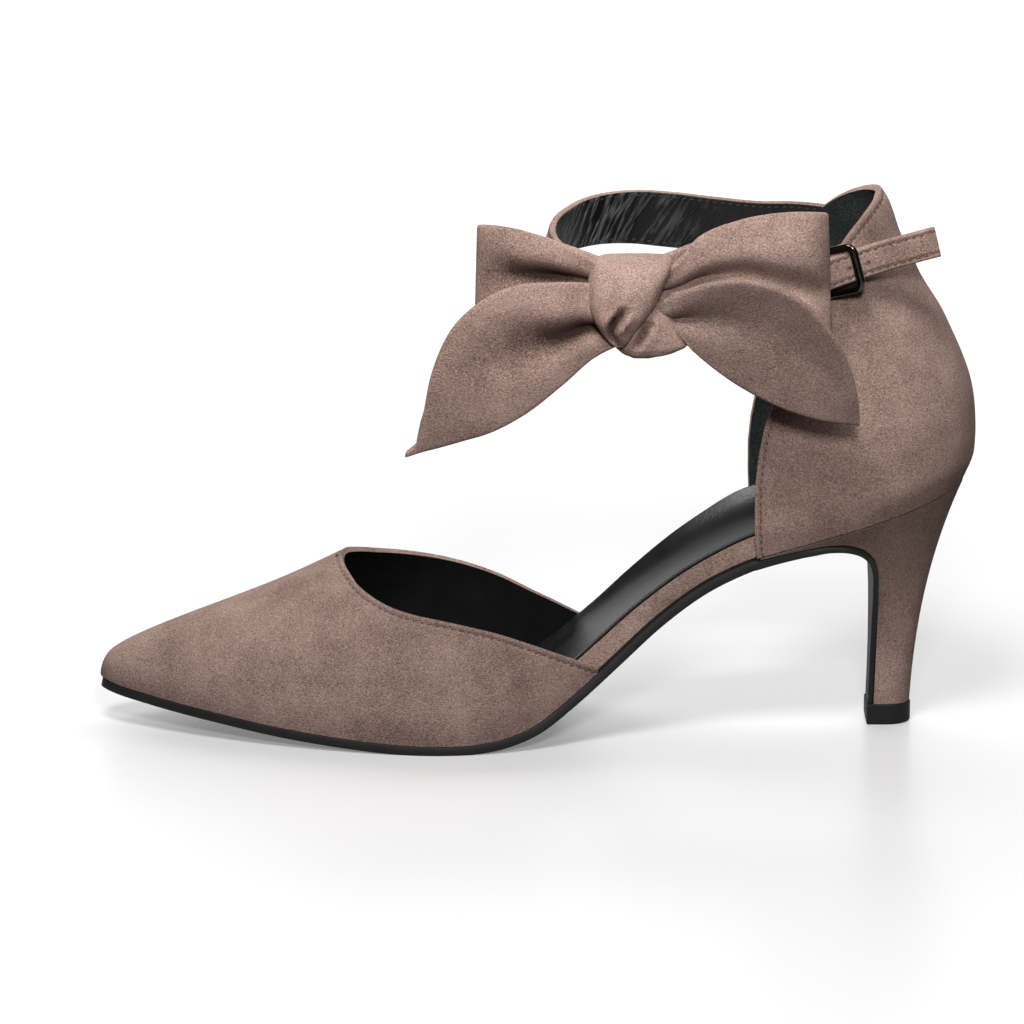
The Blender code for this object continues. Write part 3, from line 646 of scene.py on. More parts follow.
# Its lighter tone is reached on the wrinkle lines: painted glints on the black lining.
STRAP_LINING = Leather("strap_lining_leather", (0.003, 0.003, 0.003), (0.10, 0.10, 0.10), 0.4, 0.06,
                       specular=0.3, wrinkle_mm=0.5)
SOCK_LEATHER = Leather("black_sock_leather", (0.012, 0.012, 0.013), (0.026, 0.026, 0.028), 0.42, 0.2,
                       specular=0.55)
SOLE_LEATHER = Leather("black_sole_leather", (0.004, 0.004, 0.004), (0.009, 0.009, 0.009), 0.6, 0.1,
                       specular=0.2)
RUBBER = Leather("black_rubber", (0.005, 0.005, 0.005), (0.009, 0.009, 0.009), 0.65, 0.06, specular=0.2)
GUNMETAL = Metal("gunmetal", (0.035, 0.031, 0.031), 0.1)
THREAD = Thread("taupe_thread", (0.035, 0.023, 0.019), (0.10, 0.068, 0.056))
BLACK_THREAD = Thread("black_thread", (0.006, 0.006, 0.006), (0.03, 0.03, 0.03))

Finish = Suede | Leather | Metal | Thread


@dataclass
class Workshop:
    """Makes pieces in the frame's metres from places in shoe millimetres."""

    origin: np.ndarray
    materials: dict[str, bpy.types.Material] = field(default_factory=dict)
    sharp_deg: float = 42.0
    weld_mm: float = 0.002
    rim_segments: int = 3
    rim_deg: float = 60.0

    @classmethod
    def at_frame(cls) -> Workshop:
        """Find the toe tip's place in the loaded frame.

        Returns:
            The workshop there.
        """
        low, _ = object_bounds()
        tip_low, tip_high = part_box("top_piece")
        return cls(np.array([low[0], (tip_low.y + tip_high.y) / 2, 0.0]))

    def row(self, places: np.ndarray) -> np.ndarray:
        """Turn shoe millimetres into the frame's metres."""
        return np.asarray(places, dtype=float) * MM + self.origin

    def finish(self, finish: Finish) -> bpy.types.Material:
        """Make a finish's material, once.

        Args:
            finish: the finish.

        Returns:
            Its material.
        """
        if finish.name not in self.materials:
            self.materials[finish.name] = finish.material()
        return self.materials[finish.name]

    def skin(self, bm: bmesh.types.BMesh, rings: np.ndarray, closed: bool = False,
             **marks: np.ndarray) -> None:
        """Move a grid onto a surface that is given as rings of places.

        Args:
            bm: the mesh that takes the grid.
            rings: places shaped (rows, columns, 3).
            closed: whether the last column joins the first.
            marks: values for the finish to read, shaped (rows, columns), each by its attribute's name.
        """
        uv = bm.loops.layers.uv.get("UVMap") or bm.loops.layers.uv.new("UVMap")
        layers = bm.verts.layers.float
        marked = [(layers.get(name) or layers.new(name), values) for name, values in marks.items()]
        if closed:
            rings = np.concatenate([rings, rings[:, :1]], axis=1)
            marked = [(layer, np.concatenate([values, values[:, :1]], axis=1)) for layer, values in marked]
        rows, columns = rings.shape[0] - 1, rings.shape[1] - 1
        made = bmesh.ops.create_grid(bm, x_segments=columns, y_segments=rows, size=0.5, calc_uvs=True)
        places = self.row(rings)
        for vert in made["verts"]:
            column = round((vert.co.x + 0.5) * columns)
            row = round((vert.co.y + 0.5) * rows)
            for loop in vert.link_loops:
                loop[uv].uv = (column / columns, row / rows)
            vert.co = places[row, column]
            for layer, values in marked:
                vert[layer] = values[row, column]

    def close(self, bm: bmesh.types.BMesh, capped: bool) -> None:
        """Weld seams and poles, cap open ends, and turn faces outwards.

        Args:
            bm: the mesh.
            capped: whether open ends are filled.
        """
        bmesh.ops.remove_doubles(bm, verts=bm.verts, dist=self.weld_mm * MM)
        if capped:
            rims = [edge for edge in bm.edges if edge.is_boundary]
            bmesh.ops.holes_fill(bm, edges=rims, sides=0)
        bmesh.ops.recalc_face_normals(bm, faces=bm.faces)

    def loft(self, rings: np.ndarray, capped: bool = True, **marks: np.ndarray) -> bmesh.types.BMesh:
        """A closed mesh through rings of places that join round.

        Args:
            rings: places shaped (rows, columns, 3).
            capped: whether the ends are filled.
            marks: values for the finish to read, as for skin.

        Returns:
            The mesh.
        """
        bm = bmesh.new()
        self.skin(bm, rings, closed=True, **marks)
        self.close(bm, capped)
        return bm

    def piece(self, name: str, bm: bmesh.types.BMesh, finishes: Sequence[Finish], slot: Slot,
              *nodes: str) -> bpy.types.Object:
        """Turn a mesh into a piece of the shoe.

        Args:
            name: the piece's name.
            bm: its mesh, which is freed.
            finishes: its finishes, in the order of its faces' material numbers.
            slot: the record's slot for the piece; not used.
            nodes: solids that it stands for.

        Returns:
            The object.
        """
        mesh = bpy.data.meshes.new(name)
        bm.to_mesh(mesh)
        bm.free()
        thing = bpy.data.objects.new(name, mesh)
        bpy.context.scene.collection.objects.link(thing)
        for finish in finishes:
            mesh.materials.append(self.finish(finish))
        mesh.shade_smooth()
        mesh.set_sharp_from_angle(angle=math.radians(self.sharp_deg))
        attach(thing, BODY)
        if nodes:
            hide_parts(*nodes)
        LOG.info("%s: %d faces", name, len(mesh.polygons))
        return thing

    def wall(self, thing: bpy.types.Object, thickness_mm: float, round_mm: float) -> None:
        """Give an open shell its wall, with the second finish inside and rounded rims.

        Args:
            thing: the shell.
            thickness_mm: the wall, inwards.
            round_mm: how far the rims are rounded.
        """
        wall = thing.modifiers.new("wall", "SOLIDIFY")
        wall.thickness = thickness_mm * MM
        wall.offset = -1.0
        wall.use_even_offset = False
        wall.use_quality_normals = True
        wall.material_offset = 1
        if "wall" in thing.vertex_groups:
            wall.vertex_group = "wall"
        rim = thing.modifiers.new("rim", "BEVEL")
        rim.width = round_mm * MM
        rim.segments = self.rim_segments
        rim.limit_method = "ANGLE"
        rim.angle_limit = math.radians(self.rim_deg)
        rim.harden_normals = True

    def carve(self, thing: bpy.types.Object, cutters: Sequence[bmesh.types.BMesh]) -> None:
        """Cut bodies out of a piece for good.

        Args:
            thing: the piece.
            cutters: closed meshes, which are freed.
        """
        for cutter in cutters:
            mesh = bpy.data.meshes.new("cutter")
            cutter.to_mesh(mesh)
            cutter.free()
            tool = bpy.data.objects.new("cutter", mesh)
            bpy.context.scene.collection.objects.link(tool)
            trim = thing.modifiers.new("trim", "BOOLEAN")
            trim.object = tool
            trim.solver = "EXACT"
            graph = bpy.context.evaluated_depsgraph_get()
            graph.update()
            cut = bpy.data.meshes.new_from_object(thing.evaluated_get(graph))
            thing.modifiers.remove(trim)
            thing.data = cut
            bpy.data.objects.remove(tool, do_unlink=True)
        thing.data.shade_smooth()
        thing.data.set_sharp_from_angle(angle=math.radians(self.sharp_deg))


def band_section(flat: int, corner: int) -> np.ndarray:
    """A flat band's cross section with rounded edges.

    Args:
        flat: steps over each face.
        corner: steps round each corner.

    Returns:
        Rows of across, edge, depth and round. A point lies at across * (half width - radius) + edge * radius
        from the middle, and at depth * (thickness - 2 * radius) + round * radius under the upper face.
    """
    rows = [(across, 0.0, 0.0, 0.0) for across in np.linspace(-1.0, 1.0, flat + 1)]
    turns = np.linspace(math.pi / 2, -math.pi / 2, 2 * corner + 1)[1:]
    rows += [(1.0, math.cos(t), 0.0 if t > 0 else 1.0, 1.0 - math.sin(t)) for t in turns]
    rows += [(across, 0.0, 1.0, 2.0) for across in np.linspace(1.0, -1.0, flat + 1)[1:]]
    rows += [(-1.0, -math.cos(t), 0.0 if t > 0 else 1.0, 1.0 - math.sin(t)) for t in turns[-2::-1]]
    return np.array(rows)


class LastRow(NamedTuple):
    """A section of the last: height of its feather line and half widths."""

    x: float
    z: float
    lateral: float
    medial: float


@dataclass
class Last:
    """The form that the sole and the upper follow."""

    seat_start: float = 189.0
    seat_slope: float = 0.31
    nose_x: float = 203.4
    nose_length: float = 30.2
    seat_half: float = 24.2
    outline_steps: int = 600
    slope_step: float = 0.5
    table: tuple[LastRow, ...] = (
        LastRow(0.0, 12.6, 0.0, 0.0),
        LastRow(2.0, 12.2, 4.6, 4.6),
        LastRow(6.0, 11.4, 7.9, 8.1),
        LastRow(12.0, 10.5, 11.6, 12.2),
        LastRow(22.0, 9.1, 17.0, 18.2),
        LastRow(35.0, 7.4, 22.8, 24.6),
        LastRow(50.0, 5.4, 28.2, 30.2),
        LastRow(65.0, 3.9, 32.4, 34.2),
        LastRow(80.0, 2.8, 35.4, 36.2),
        LastRow(92.0, 2.45, 36.4, 35.6),
        LastRow(102.0, 2.75, 35.6, 33.2),
        LastRow(110.0, 4.0, 34.0, 30.2),
        LastRow(118.0, 6.9, 31.6, 27.0),
        LastRow(127.0, 13.4, 28.8, 24.0),
        LastRow(138.0, 23.0, 26.0, 21.4),
        LastRow(150.0, 34.0, 24.0, 20.0),
        LastRow(162.0, 43.0, 23.0, 20.2),
        LastRow(175.0, 49.6, 22.8, 21.6),
        LastRow(189.0, 54.2, 23.6, 23.4),
        LastRow(203.4, 58.1, 24.2, 24.2),
    )

    @property
    def heel_x(self) -> float:
        """The back of the seat."""
        return self.nose_x + self.nose_length

    def z(self, x: np.ndarray) -> np.ndarray:
        """Height of the line where the upper meets the sole and the heel seat.

        Args:
            x: places along the shoe.

        Returns:
            The heights.
        """
        x = np.asarray(x, dtype=float)
        seat = self.table[-2].z + (x - self.seat_start) * self.seat_slope
        return np.where(x >= self.seat_start, seat, Curve.of(self.table, "x", "z").at(x))

    def half(self, x: np.ndarray, side: Side) -> np.ndarray:
        """Half width of the shoe at its widest line, in plan.

        Args:
            x: places along the shoe.
            side: which half.

        Returns:
            The half widths.
        """
        x = np.asarray(x, dtype=float)
        share = np.clip((x - self.nose_x) / self.nose_length, 0.0, 1.0)
        nose = self.seat_half * np.sqrt(1.0 - share * share)
        front = Curve.of(self.table, "x", side.column).root_at(np.minimum(x, self.nose_x))
        return np.where(x > self.nose_x, nose, front)

    def inset_half(self, x: np.ndarray, side: Side, inset: float) -> np.ndarray:
        """Half width of the plan outline moved in by the same distance all round.

        Args:
            x: places along the shoe.
            side: which half.
            inset: how far it moves in.

        Returns:
            The half widths.
        """
        places = self.heel_x * eased(self.outline_steps)
        widths = self.half(places, side)
        along, across = np.gradient(places), np.gradient(widths)
        run = np.hypot(along, across)
        return np.interp(x, places + inset * across / run, widths - inset * along / run)

    def normal(self, x: np.ndarray) -> tuple[np.ndarray, np.ndarray]:
        """Direction square to the feather line in side view, pointing up.

        Args:
            x: places along the shoe.

        Returns:
            Its x and its z.
        """
        step = self.slope_step
        slope = np.where(x > step, (self.z(x + step) - self.z(np.maximum(x - step, 0.0))) / (2 * step), 0.0)
        run = np.hypot(1.0, slope)
        return -slope / run, 1.0 / run


class SoleRow(NamedTuple):
    """A point of the sole's upper side in side view."""

    x: float
    z: float


@dataclass
class Sole:
    """The outsole with its flap, the covered heel and the top piece."""

    shop: Workshop
    last: Last
    thickness: float = 2.7
    flap: float = 1.5
    inset: float = 0.6
    waist_length: float = 21.0
    toe_x: float = 0.7
    edge_round: float = 0.55
    round_share: float = 0.4
    front_stations: int = 150
    front_crowding: float = 1.35
    turn_stations: int = 110
    flat_steps: int = 24
    corner_steps: int = 4
    seam: float = 0.12
    tip_side_x: float = 213.6
    tip_half: float = 5.6
    tip_length: float = 6.6
    heel_front_x: float = 205.0
    seat_front_x: float = 178.2
    heel_points: int = 110
    heel_levels: int = 60
    tip_points: int = 200
    seat_points: int = 300
    block_start: float = 1.0
    block_reach: float = 70.0
    side_power: float = 2.6
    back_power: float = 2.3
    back_straight: float = 0.28
    piece_height: float = 5.7
    piece_front_x: float = 208.3
    piece_rim: float = 0.3
    piece_round: float = 0.7
    piece_chamfer: float = 0.3
    piece_points: int = 90
    round_points: int = 6
    breast: tuple[SoleRow, ...] = (
        SoleRow(176.0, 49.9),
        SoleRow(184.0, 51.9),
        SoleRow(191.0, 53.4),
        SoleRow(197.2, 54.3),
        SoleRow(202.3, 53.9),
        SoleRow(206.2, 52.2),
        SoleRow(208.9, 49.2),
        SoleRow(210.2, 45.0),
        SoleRow(210.6, 39.0),
        SoleRow(210.6, 28.0),
        SoleRow(210.4, 16.0),
        SoleRow(210.1, 6.0),
    )

    def breast_half(self, z: np.ndarray) -> np.ndarray:
        """Half width of the heel breast.

        Args:
            z: heights.

        Returns:
            The half widths there.
        """
        bottom = self.breast[-1].z
        share = np.clip((z - bottom) / (self.last.z(self.last.seat_start) - bottom), 0.0, 1.0)
        seat = self.last.half(self.last.seat_start, Side.LATERAL)
        return self.tip_half + (seat - self.tip_half) * share ** self.side_power

    def stations(self) -> tuple[np.ndarray, np.ndarray]:
        """Places along the sole's upper side.

        Returns:
            Rows of x, z, lateral and medial half width, and the directions square to them in side view.
        """
        share = np.linspace(0.0, 1.0, self.front_stations) ** self.front_crowding
        forepart = self.toe_x + (self.breast[0].x - self.toe_x) * share
        front = np.column_stack([forepart, self.last.z(forepart),
                                 self.last.inset_half(forepart, Side.LATERAL, self.inset),
                                 self.last.inset_half(forepart, Side.MEDIAL, self.inset)])
        turn = resample(self.breast, self.turn_stations)[1:]
        share = np.minimum(1.0, (turn[:, 0] - self.breast[0].x) / self.waist_length)
        edges = [self.last.half(turn[:, 0], side) - self.inset for side in Side]
        halves = [edge + (np.minimum(self.breast_half(turn[:, 1]), edge) - edge) * share for edge in edges]
        rows = np.vstack([front, np.column_stack([turn, halves[0], halves[1]])])
        along = unit(np.column_stack([np.gradient(rows[:, 0]), np.gradient(rows[:, 1])]))
        return rows, np.column_stack([-along[:, 1], along[:, 0]])

    def build_outsole(self) -> None:
        """The sole from the toe tip to the foot of the heel breast; flat on the floor at the ball."""
        rows, square = self.stations()
        fade = np.clip((rows[:, 0] - self.breast[0].x) / (self.last.nose_x - self.breast[0].x), 0.0, 1.0)
        thickness = self.thickness + (self.flap - self.thickness) * fade
        across, edge, depth, bend = band_section(self.flat_steps, self.corner_steps).T
        half = (rows[:, 2] + rows[:, 3])[:, None] / 2
        middle = (rows[:, 3] - rows[:, 2])[:, None] / 2
        radius = np.minimum(self.edge_round, half * self.round_share)
        y = middle + across * (half - radius) + edge * radius
        drop = depth * (thickness[:, None] - 2 * self.edge_round) + bend * self.edge_round
        x = rows[:, 0][:, None] - square[:, 0][:, None] * drop
        z = np.maximum(0.0, rows[:, 1][:, None] - square[:, 1][:, None] * drop)
        bm = self.shop.loft(np.stack([x, y, z], axis=-1))
        self.shop.piece("outsole_leather", bm, [SOLE_LEATHER], Slot.SOLE, "outsole")

    def tip_outline(self, front_x: float, rim: float, count: int) -> np.ndarray:
        """The heel tip in plan: straight sides and a round back.

        Args:
            front_x: where the sides start.
            rim: how far it stands out from the heel.
            count: how many points.

        Returns:
            Points from lateral front round the back to medial front.
        """
        half = self.tip_half + rim
        turns = np.linspace(-math.pi / 2, math.pi / 2, self.tip_points)
        arc_x = self.tip_side_x + (self.tip_length + rim) * np.cos(turns)
        arc = np.column_stack([arc_x, half * np.sin(turns)])
        return spaced(np.vstack([[(front_x, -half)], arc, [(front_x, half)]]), count)

    def seat_outline(self, count: int) -> np.ndarray:
        """The heel seat in plan.

        Args:
            count: how many points.

        Returns:
            Points from lateral front round the back to medial front.
        """
        turns = np.linspace(0.0, math.pi / 2, self.seat_points)
        xs = self.seat_front_x + (self.last.heel_x - self.seat_front_x) * np.sin(turns)
        lateral = np.column_stack([xs, -self.last.half(xs, Side.LATERAL)])
        medial = np.column_stack([xs, self.last.half(xs, Side.MEDIAL)])[::-1]
        return spaced(np.vstack([lateral, medial[1:]]), count)

    def build_heel(self) -> None:
        """The covered heel, trimmed in front along the sole's flap."""
        tip = self.tip_outline(self.heel_front_x, 0.0, self.heel_points)
        seat = self.seat_outline(self.heel_points)
        level = np.linspace(0.0, 1.0, self.heel_levels)[:, None]
        flare_x = self.back_straight * level + (1.0 - self.back_straight) * level ** self.back_power
        x = tip[:, 0] + (seat[:, 0] - tip[:, 0]) * flare_x
        y = tip[:, 1] + (seat[:, 1] - tip[:, 1]) * level ** self.side_power
        bottom = self.piece_height + self.seam
        z = bottom + (self.last.z(seat[:, 0]) - bottom) * level
        bm = self.shop.loft(np.stack([x, y, z], axis=-1))
        heel = self.shop.piece("heel_cover", bm, [HEEL_SUEDE], Slot.SUEDE, "heel")
        self.shop.carve(heel, [self.breast_block()])

    def breast_block(self) -> bmesh.types.BMesh:
        """A block in front of and under the sole's upper side, for trimming the heel.

        Returns:
            The block.
        """
        reach = self.block_reach
        rows, square = self.stations()
        keep = rows[:, 0] > self.breast[0].x + self.block_start
        line = rows[keep, :2] + square[keep] * self.seam
        line = np.vstack([line, [(line[-1, 0], -reach), (line[0, 0], -reach)]])
        return self.shop.loft(np.array([[(x, y, z) for x, z in line] for y in (-reach, reach)]))

    def build_top_piece(self) -> None:
        """The rubber piece that stands on the floor, with its lower edge rounded."""
        turns = np.linspace(0.0, math.pi / 2, self.round_points)
        radius, chamfer = self.piece_round, self.piece_chamfer
        levels = [(radius * (1.0 - math.sin(turn)), radius * (1.0 - math.cos(turn))) for turn in turns]
        levels += [(0.0, self.piece_height - chamfer), (chamfer, self.piece_height)]
        rings = []
        for inset, height in levels:
            outline = self.tip_outline(self.piece_front_x + inset, self.piece_rim - inset, self.piece_points)
            rings.append(np.column_stack([outline, np.full(len(outline), height)]))
        bm = self.shop.loft(np.array(rings))
        self.shop.piece("top_piece_rubber", bm, [RUBBER], Slot.RUBBER, "top_piece")

    def build(self) -> None:
        """Build and dress the sole's pieces."""
        self.build_outsole()
        self.build_heel()
        self.build_top_piece()


class BoardRow(NamedTuple):
    """The footbed's thickness at both edges and how far its middle dips under the lateral edge."""

    x: float
    lateral: float
    medial: float
    dip: float


@dataclass
class Footbed:
    """The board with its suede-wrapped edge, and the leather sock on it."""

    shop: Workshop
    last: Last
    inset: float = 2.8
    sock_inset: float = 0.6
    sock_thickness: float = 1.0
    edge_round: float = 0.5
    round_share: float = 0.4
    end_gap: float = 0.3
    flat_steps: int = 28
    corner_steps: int = 3
    lip: float = 0.3
    wall_power: float = 8.0
    gap: float = 0.05
    stations: int = 170
    table: tuple[BoardRow, ...] = (
        BoardRow(0.0, 1.2, 1.2, 0.0),
        BoardRow(80.0, 1.4, 1.4, 0.0),
        BoardRow(105.0, 2.6, 2.8, 0.4),
        BoardRow(118.0, 4.6, 5.0, 1.0),
        BoardRow(129.0, 5.9, 5.6, 2.2),
        BoardRow(142.0, 5.8, 6.0, 3.0),
        BoardRow(154.0, 5.4, 6.6, 3.2),
        BoardRow(166.0, 5.4, 7.6, 3.2),
        BoardRow(178.0, 6.0, 9.2, 3.2),
        BoardRow(200.0, 5.4, 6.6, 2.0),
        BoardRow(234.0, 4.4, 4.4, 1.0),
    )

    def layer(self, inset: float, under: float | None, thickness: float) -> bmesh.types.BMesh:
        """A layer of the footbed from toe to heel.

        Args:
            inset: from the widest line of the shoe to the layer's edge.
            under: its lower side's height over the board's upper side, or None for the board itself.
            thickness: its thickness where under is given.

        Returns:
            The mesh.
        """
        start, end = inset + self.end_gap, self.last.heel_x - inset - self.end_gap
        x = start + (end - start) * eased(self.stations)
        lateral = self.last.inset_half(x, Side.LATERAL, inset)[:, None]
        medial = self.last.inset_half(x, Side.MEDIAL, inset)[:, None]
        across, edge, depth, bend = band_section(self.flat_steps, self.corner_steps).T
        half, middle = (lateral + medial) / 2, (medial - lateral) / 2
        radius = np.minimum(self.edge_round, half * self.round_share)
        y = middle + across * (half - radius) + edge * radius
        share = np.clip((y + lateral) / (lateral + medial), 0.0, 1.0)
        near, far, dip = (Curve.of(self.table, "x", name).at(x)[:, None]
                          for name in ("lateral", "medial", "dip"))
        roll = (1.0 - np.minimum(1.0, share / self.lip)) ** 2
        climb = np.maximum(0.0, (share - self.lip) / (1.0 - self.lip)) ** self.wall_power
        dish = near - dip * (1.0 - roll) + (far - near + dip) * climb
        top = dish if under is None else dish + under + thickness
        total = dish - self.gap if under is None else np.full_like(dish, thickness)
        height = top - depth * (total - 2 * self.edge_round) - bend * self.edge_round
        out_x, out_z = self.last.normal(x)
        return self.shop.loft(np.stack([x[:, None] + out_x[:, None] * height, y,
                                        self.last.z(x)[:, None] + out_z[:, None] * height], axis=-1))

    def build(self) -> None:
        """Build and dress the board and the sock."""
        board = self.layer(self.inset, None, 0.0)
        self.shop.piece("board_wrap", board, [HEEL_SUEDE], Slot.SUEDE, "insole_board")
        sock = self.layer(self.inset + self.sock_inset, self.gap, self.sock_thickness)
        self.shop.piece("sock_leather", sock, [SOCK_LEATHER], Slot.LINING, "insole_sock")


class RidgeRow(NamedTuple):
    """Height of the vamp's ridge over its foot line."""

    x: float
    rise: float


class ToplineRow(NamedTuple):
    """Height of the vamp's topline on both sides."""

    x: float
    lateral: float
    medial: float


class CounterRow(NamedTuple):
    """A level of the counter: its back, the length and half width of its round end, and its front edges."""

    level: float
    back: float
    nose: float
    half: float
    front_lateral: float
    front_medial: float


@dataclass
class Stitching:
    """Runs of lockstitch, each stitch a small twisted bead of thread."""

    shop: Workshop
    pitch: float = 2.1
    length: float = 1.3
    width: float = 0.5
    height: float = 0.36
    slant_deg: float = 8.0
    bead_segments: int = 6
    bead_rings: int = 5
    lift: float = 0.02

    def sew(self, name: str, runs: Sequence[tuple[np.ndarray, np.ndarray]], finish: Thread) -> None:
        """Sew along paths.

        Args:
            name: the piece's name.
            runs: for each run, its path and the directions out of the surface.
            finish: the thread.
        """
        bm = bmesh.new()
        for path, out in runs:
            length = np.linalg.norm(np.diff(path, axis=0), axis=1).sum()
            count = max(2, int(length / self.pitch))
            both = spaced(np.hstack([path, out * MM]), 2 * count + 1)
            for k in range(1, 2 * count, 2):
                along = unit(both[k + 1, :3] - both[k - 1, :3])
                normal = unit(both[k, 3:])
                side = unit(np.cross(normal, along))
                turn = Matrix.Rotation(math.radians(self.slant_deg), 3, Vector(normal))
                axes = Matrix((along, side, normal)).transposed()
                size = Matrix.Diagonal((self.length * MM, self.width * MM, self.height * MM))
                place = Matrix.Translation(self.shop.row(both[k, :3])) @ (turn @ axes @ size).to_4x4()
                bmesh.ops.create_uvsphere(bm, u_segments=self.bead_segments, v_segments=self.bead_rings,
                                          radius=0.5, matrix=place)
        self.shop.piece(name, bm, [finish], Slot.SUEDE)


@dataclass
class Upper:
    """The vamp and the counter, each one shell with its lining, and their stitching."""

    shop: Workshop
    last: Last
    stitching: Stitching
    vamp_wall: float = 1.5
    counter_wall: float = 2.0
    rim_round: float = 0.4
    toe_taper: float = 9.0
    toe_wall_share: float = 0.02
    heel_seam: float = 0.45
    gap: float = 0.06
    tuck: float = 0.8
    tuck_height: float = 7.0
    fullness: float = 0.9
    throat_x: float = 65.2
    vamp_end_x: float = 135.0
    wing_end_height: float = 1.4
    columns: int = 44
    toe_rows: int = 70
    wing_rows: int = 90
    toe_crowding: float = 2.0
    wing_crowding: float = 2.2
    below_topline: float = 0.97
    throat_rows: int = 3
    throat_out: tuple[float, float, float] = (-0.45, 0.0, 0.9)
    knee: float = 0.6
    level_power: float = 1.5
    counter_rows: int = 150
    counter_columns: int = 130
    seam_in: float = 1.5
    edge_points: int = 500
    ridge: tuple[RidgeRow, ...] = (
        RidgeRow(0.0, 0.0),
        RidgeRow(2.0, 6.4),
        RidgeRow(5.3, 9.7),
        RidgeRow(12.0, 14.0),
        RidgeRow(25.0, 20.9),
        RidgeRow(38.0, 27.4),
        RidgeRow(51.0, 34.3),
        RidgeRow(65.2, 42.4),
        RidgeRow(90.0, 57.0),
        RidgeRow(110.0, 66.0),
        RidgeRow(135.0, 69.0),
    )
    topline: tuple[ToplineRow, ...] = (
        ToplineRow(65.2, 47.2, 47.2),
        ToplineRow(66.1, 46.5, 46.6),
        ToplineRow(68.0, 45.1, 45.2),
        ToplineRow(70.5, 42.9, 44.1),
        ToplineRow(74.0, 40.9, 42.9),
        ToplineRow(79.0, 38.8, 41.7),
        ToplineRow(85.0, 37.3, 40.4),
        ToplineRow(93.0, 36.0, 38.6),
        ToplineRow(101.0, 34.4, 36.4),
        ToplineRow(109.0, 32.3, 33.7),
        ToplineRow(117.0, 29.3, 30.1),
        ToplineRow(125.0, 26.0, 26.6),
        ToplineRow(135.0, 21.7, 22.0),
    )
    counter: tuple[CounterRow, ...] = (
        CounterRow(68.0, 233.6, 30.2, 24.2, 177.4, 177.4),
        CounterRow(70.4, 234.8, 30.2, 25.4, 177.0, 177.2),
        CounterRow(73.0, 236.0, 30.6, 26.4, 176.7, 176.9),
        CounterRow(78.7, 236.7, 31.0, 27.1, 176.5, 176.6),
        CounterRow(84.5, 236.6, 31.0, 27.3, 176.6, 176.6),
        CounterRow(90.0, 236.1, 31.4, 27.3, 177.3, 177.3),
        CounterRow(95.5, 235.0, 32.0, 27.1, 178.7, 178.7),
        CounterRow(102.0, 232.8, 32.4, 26.8, 181.6, 181.6),
        CounterRow(108.5, 230.0, 33.0, 26.4, 185.4, 185.4),
        CounterRow(115.0, 226.9, 33.6, 26.0, 189.6, 189.0),
        CounterRow(121.5, 222.8, 34.0, 25.6, 192.8, 191.6),
        CounterRow(124.0, 221.3, 34.0, 25.4, 191.8, 192.3),
        CounterRow(129.5, 218.7, 34.0, 25.0, 190.8, 193.4),
        CounterRow(134.6, 215.9, 34.0, 24.4, 191.8, 194.4),
        CounterRow(136.2, 215.2, 34.0, 24.1, 199.4, 195.0),
        CounterRow(138.6, 214.4, 34.0, 23.6, 201.6, 196.4),
        CounterRow(141.4, 213.4, 34.0, 23.0, 204.6, 199.8),
        CounterRow(143.8, 212.4, 34.0, 22.2, 207.0, 203.6),
        CounterRow(145.8, 211.2, 34.0, 21.4, 209.2, 207.4),
        CounterRow(146.9, 210.4, 34.0, 21.0, 209.9, 209.8),
    )

    def vamp_places(self, x: np.ndarray, side: Side, share: np.ndarray) -> np.ndarray:
        """Places on the vamp's outer face.

        Args:
            x: places along the shoe, one for each row.
            side: which half.
            share: from 0 at the sole to 1 at the ridge or the topline, one for each column.

        Returns:
            Places shaped (rows, columns, 3).
        """
        rise = Curve.of(self.ridge, "x", "rise").root_at(x)[:, None]
        foot = (self.last.z(x) + self.gap)[:, None]
        line = Curve.of(self.topline, "x", side.column).at(np.maximum(x, self.throat_x))[:, None]
        height = np.maximum(self.wing_end_height, line - foot)
        top = np.arcsin(np.clip(height / np.maximum(rise, TINY), 0.0, 1.0))
        top = np.where(x[:, None] > self.throat_x, top, math.pi / 2)
        angle = share[None, :] * math.pi / 2
        knee = self.knee * top
        squeezed = knee + (angle - knee) * (top - knee) / (math.pi / 2 - knee)
        angle = np.where(angle > knee, squeezed, angle)
        up = rise * np.sin(angle)
        tuck = self.tuck * np.maximum(0.0, 1.0 - up / self.tuck_height) ** 2
        half = np.maximum(0.0, self.last.half(x, side)[:, None] - tuck)
        across = np.maximum(0.0, np.cos(angle)) ** self.fullness * half
        return np.stack([np.broadcast_to(x[:, None], up.shape), side.value * across, foot + up], axis=-1)

    def wing_x(self) -> np.ndarray:
        """Where the rows of the vamp's wings are, crowded towards the throat."""
        share = np.linspace(0.0, 1.0, self.wing_rows) ** self.wing_crowding
        return self.throat_x + (self.vamp_end_x - self.throat_x) * share

    def topline_run(self) -> tuple[np.ndarray, np.ndarray]:
        """The topline from the medial wing's end round the throat to the lateral wing's end.

        Returns:
            Its path and the directions out of the vamp.
        """
        share = np.array([self.below_topline, 1.0])
        lines, outs = [], []
        for side in (Side.MEDIAL, Side.LATERAL):
            x = self.wing_x()
            near = self.vamp_places(x, side, share)
            path = near[:, 1]
            along = unit(np.gradient(path, axis=0))
            up = unit(near[:, 1] - near[:, 0])
            out = unit(np.cross(up, along)) * side.value
            out[:self.throat_rows] = unit(np.array(self.throat_out))
            order = slice(None, None, -1) if side is Side.MEDIAL else slice(1, None)
            lines.append(path[order])
            outs.append(out[order])
        return np.vstack(lines), np.vstack(outs)

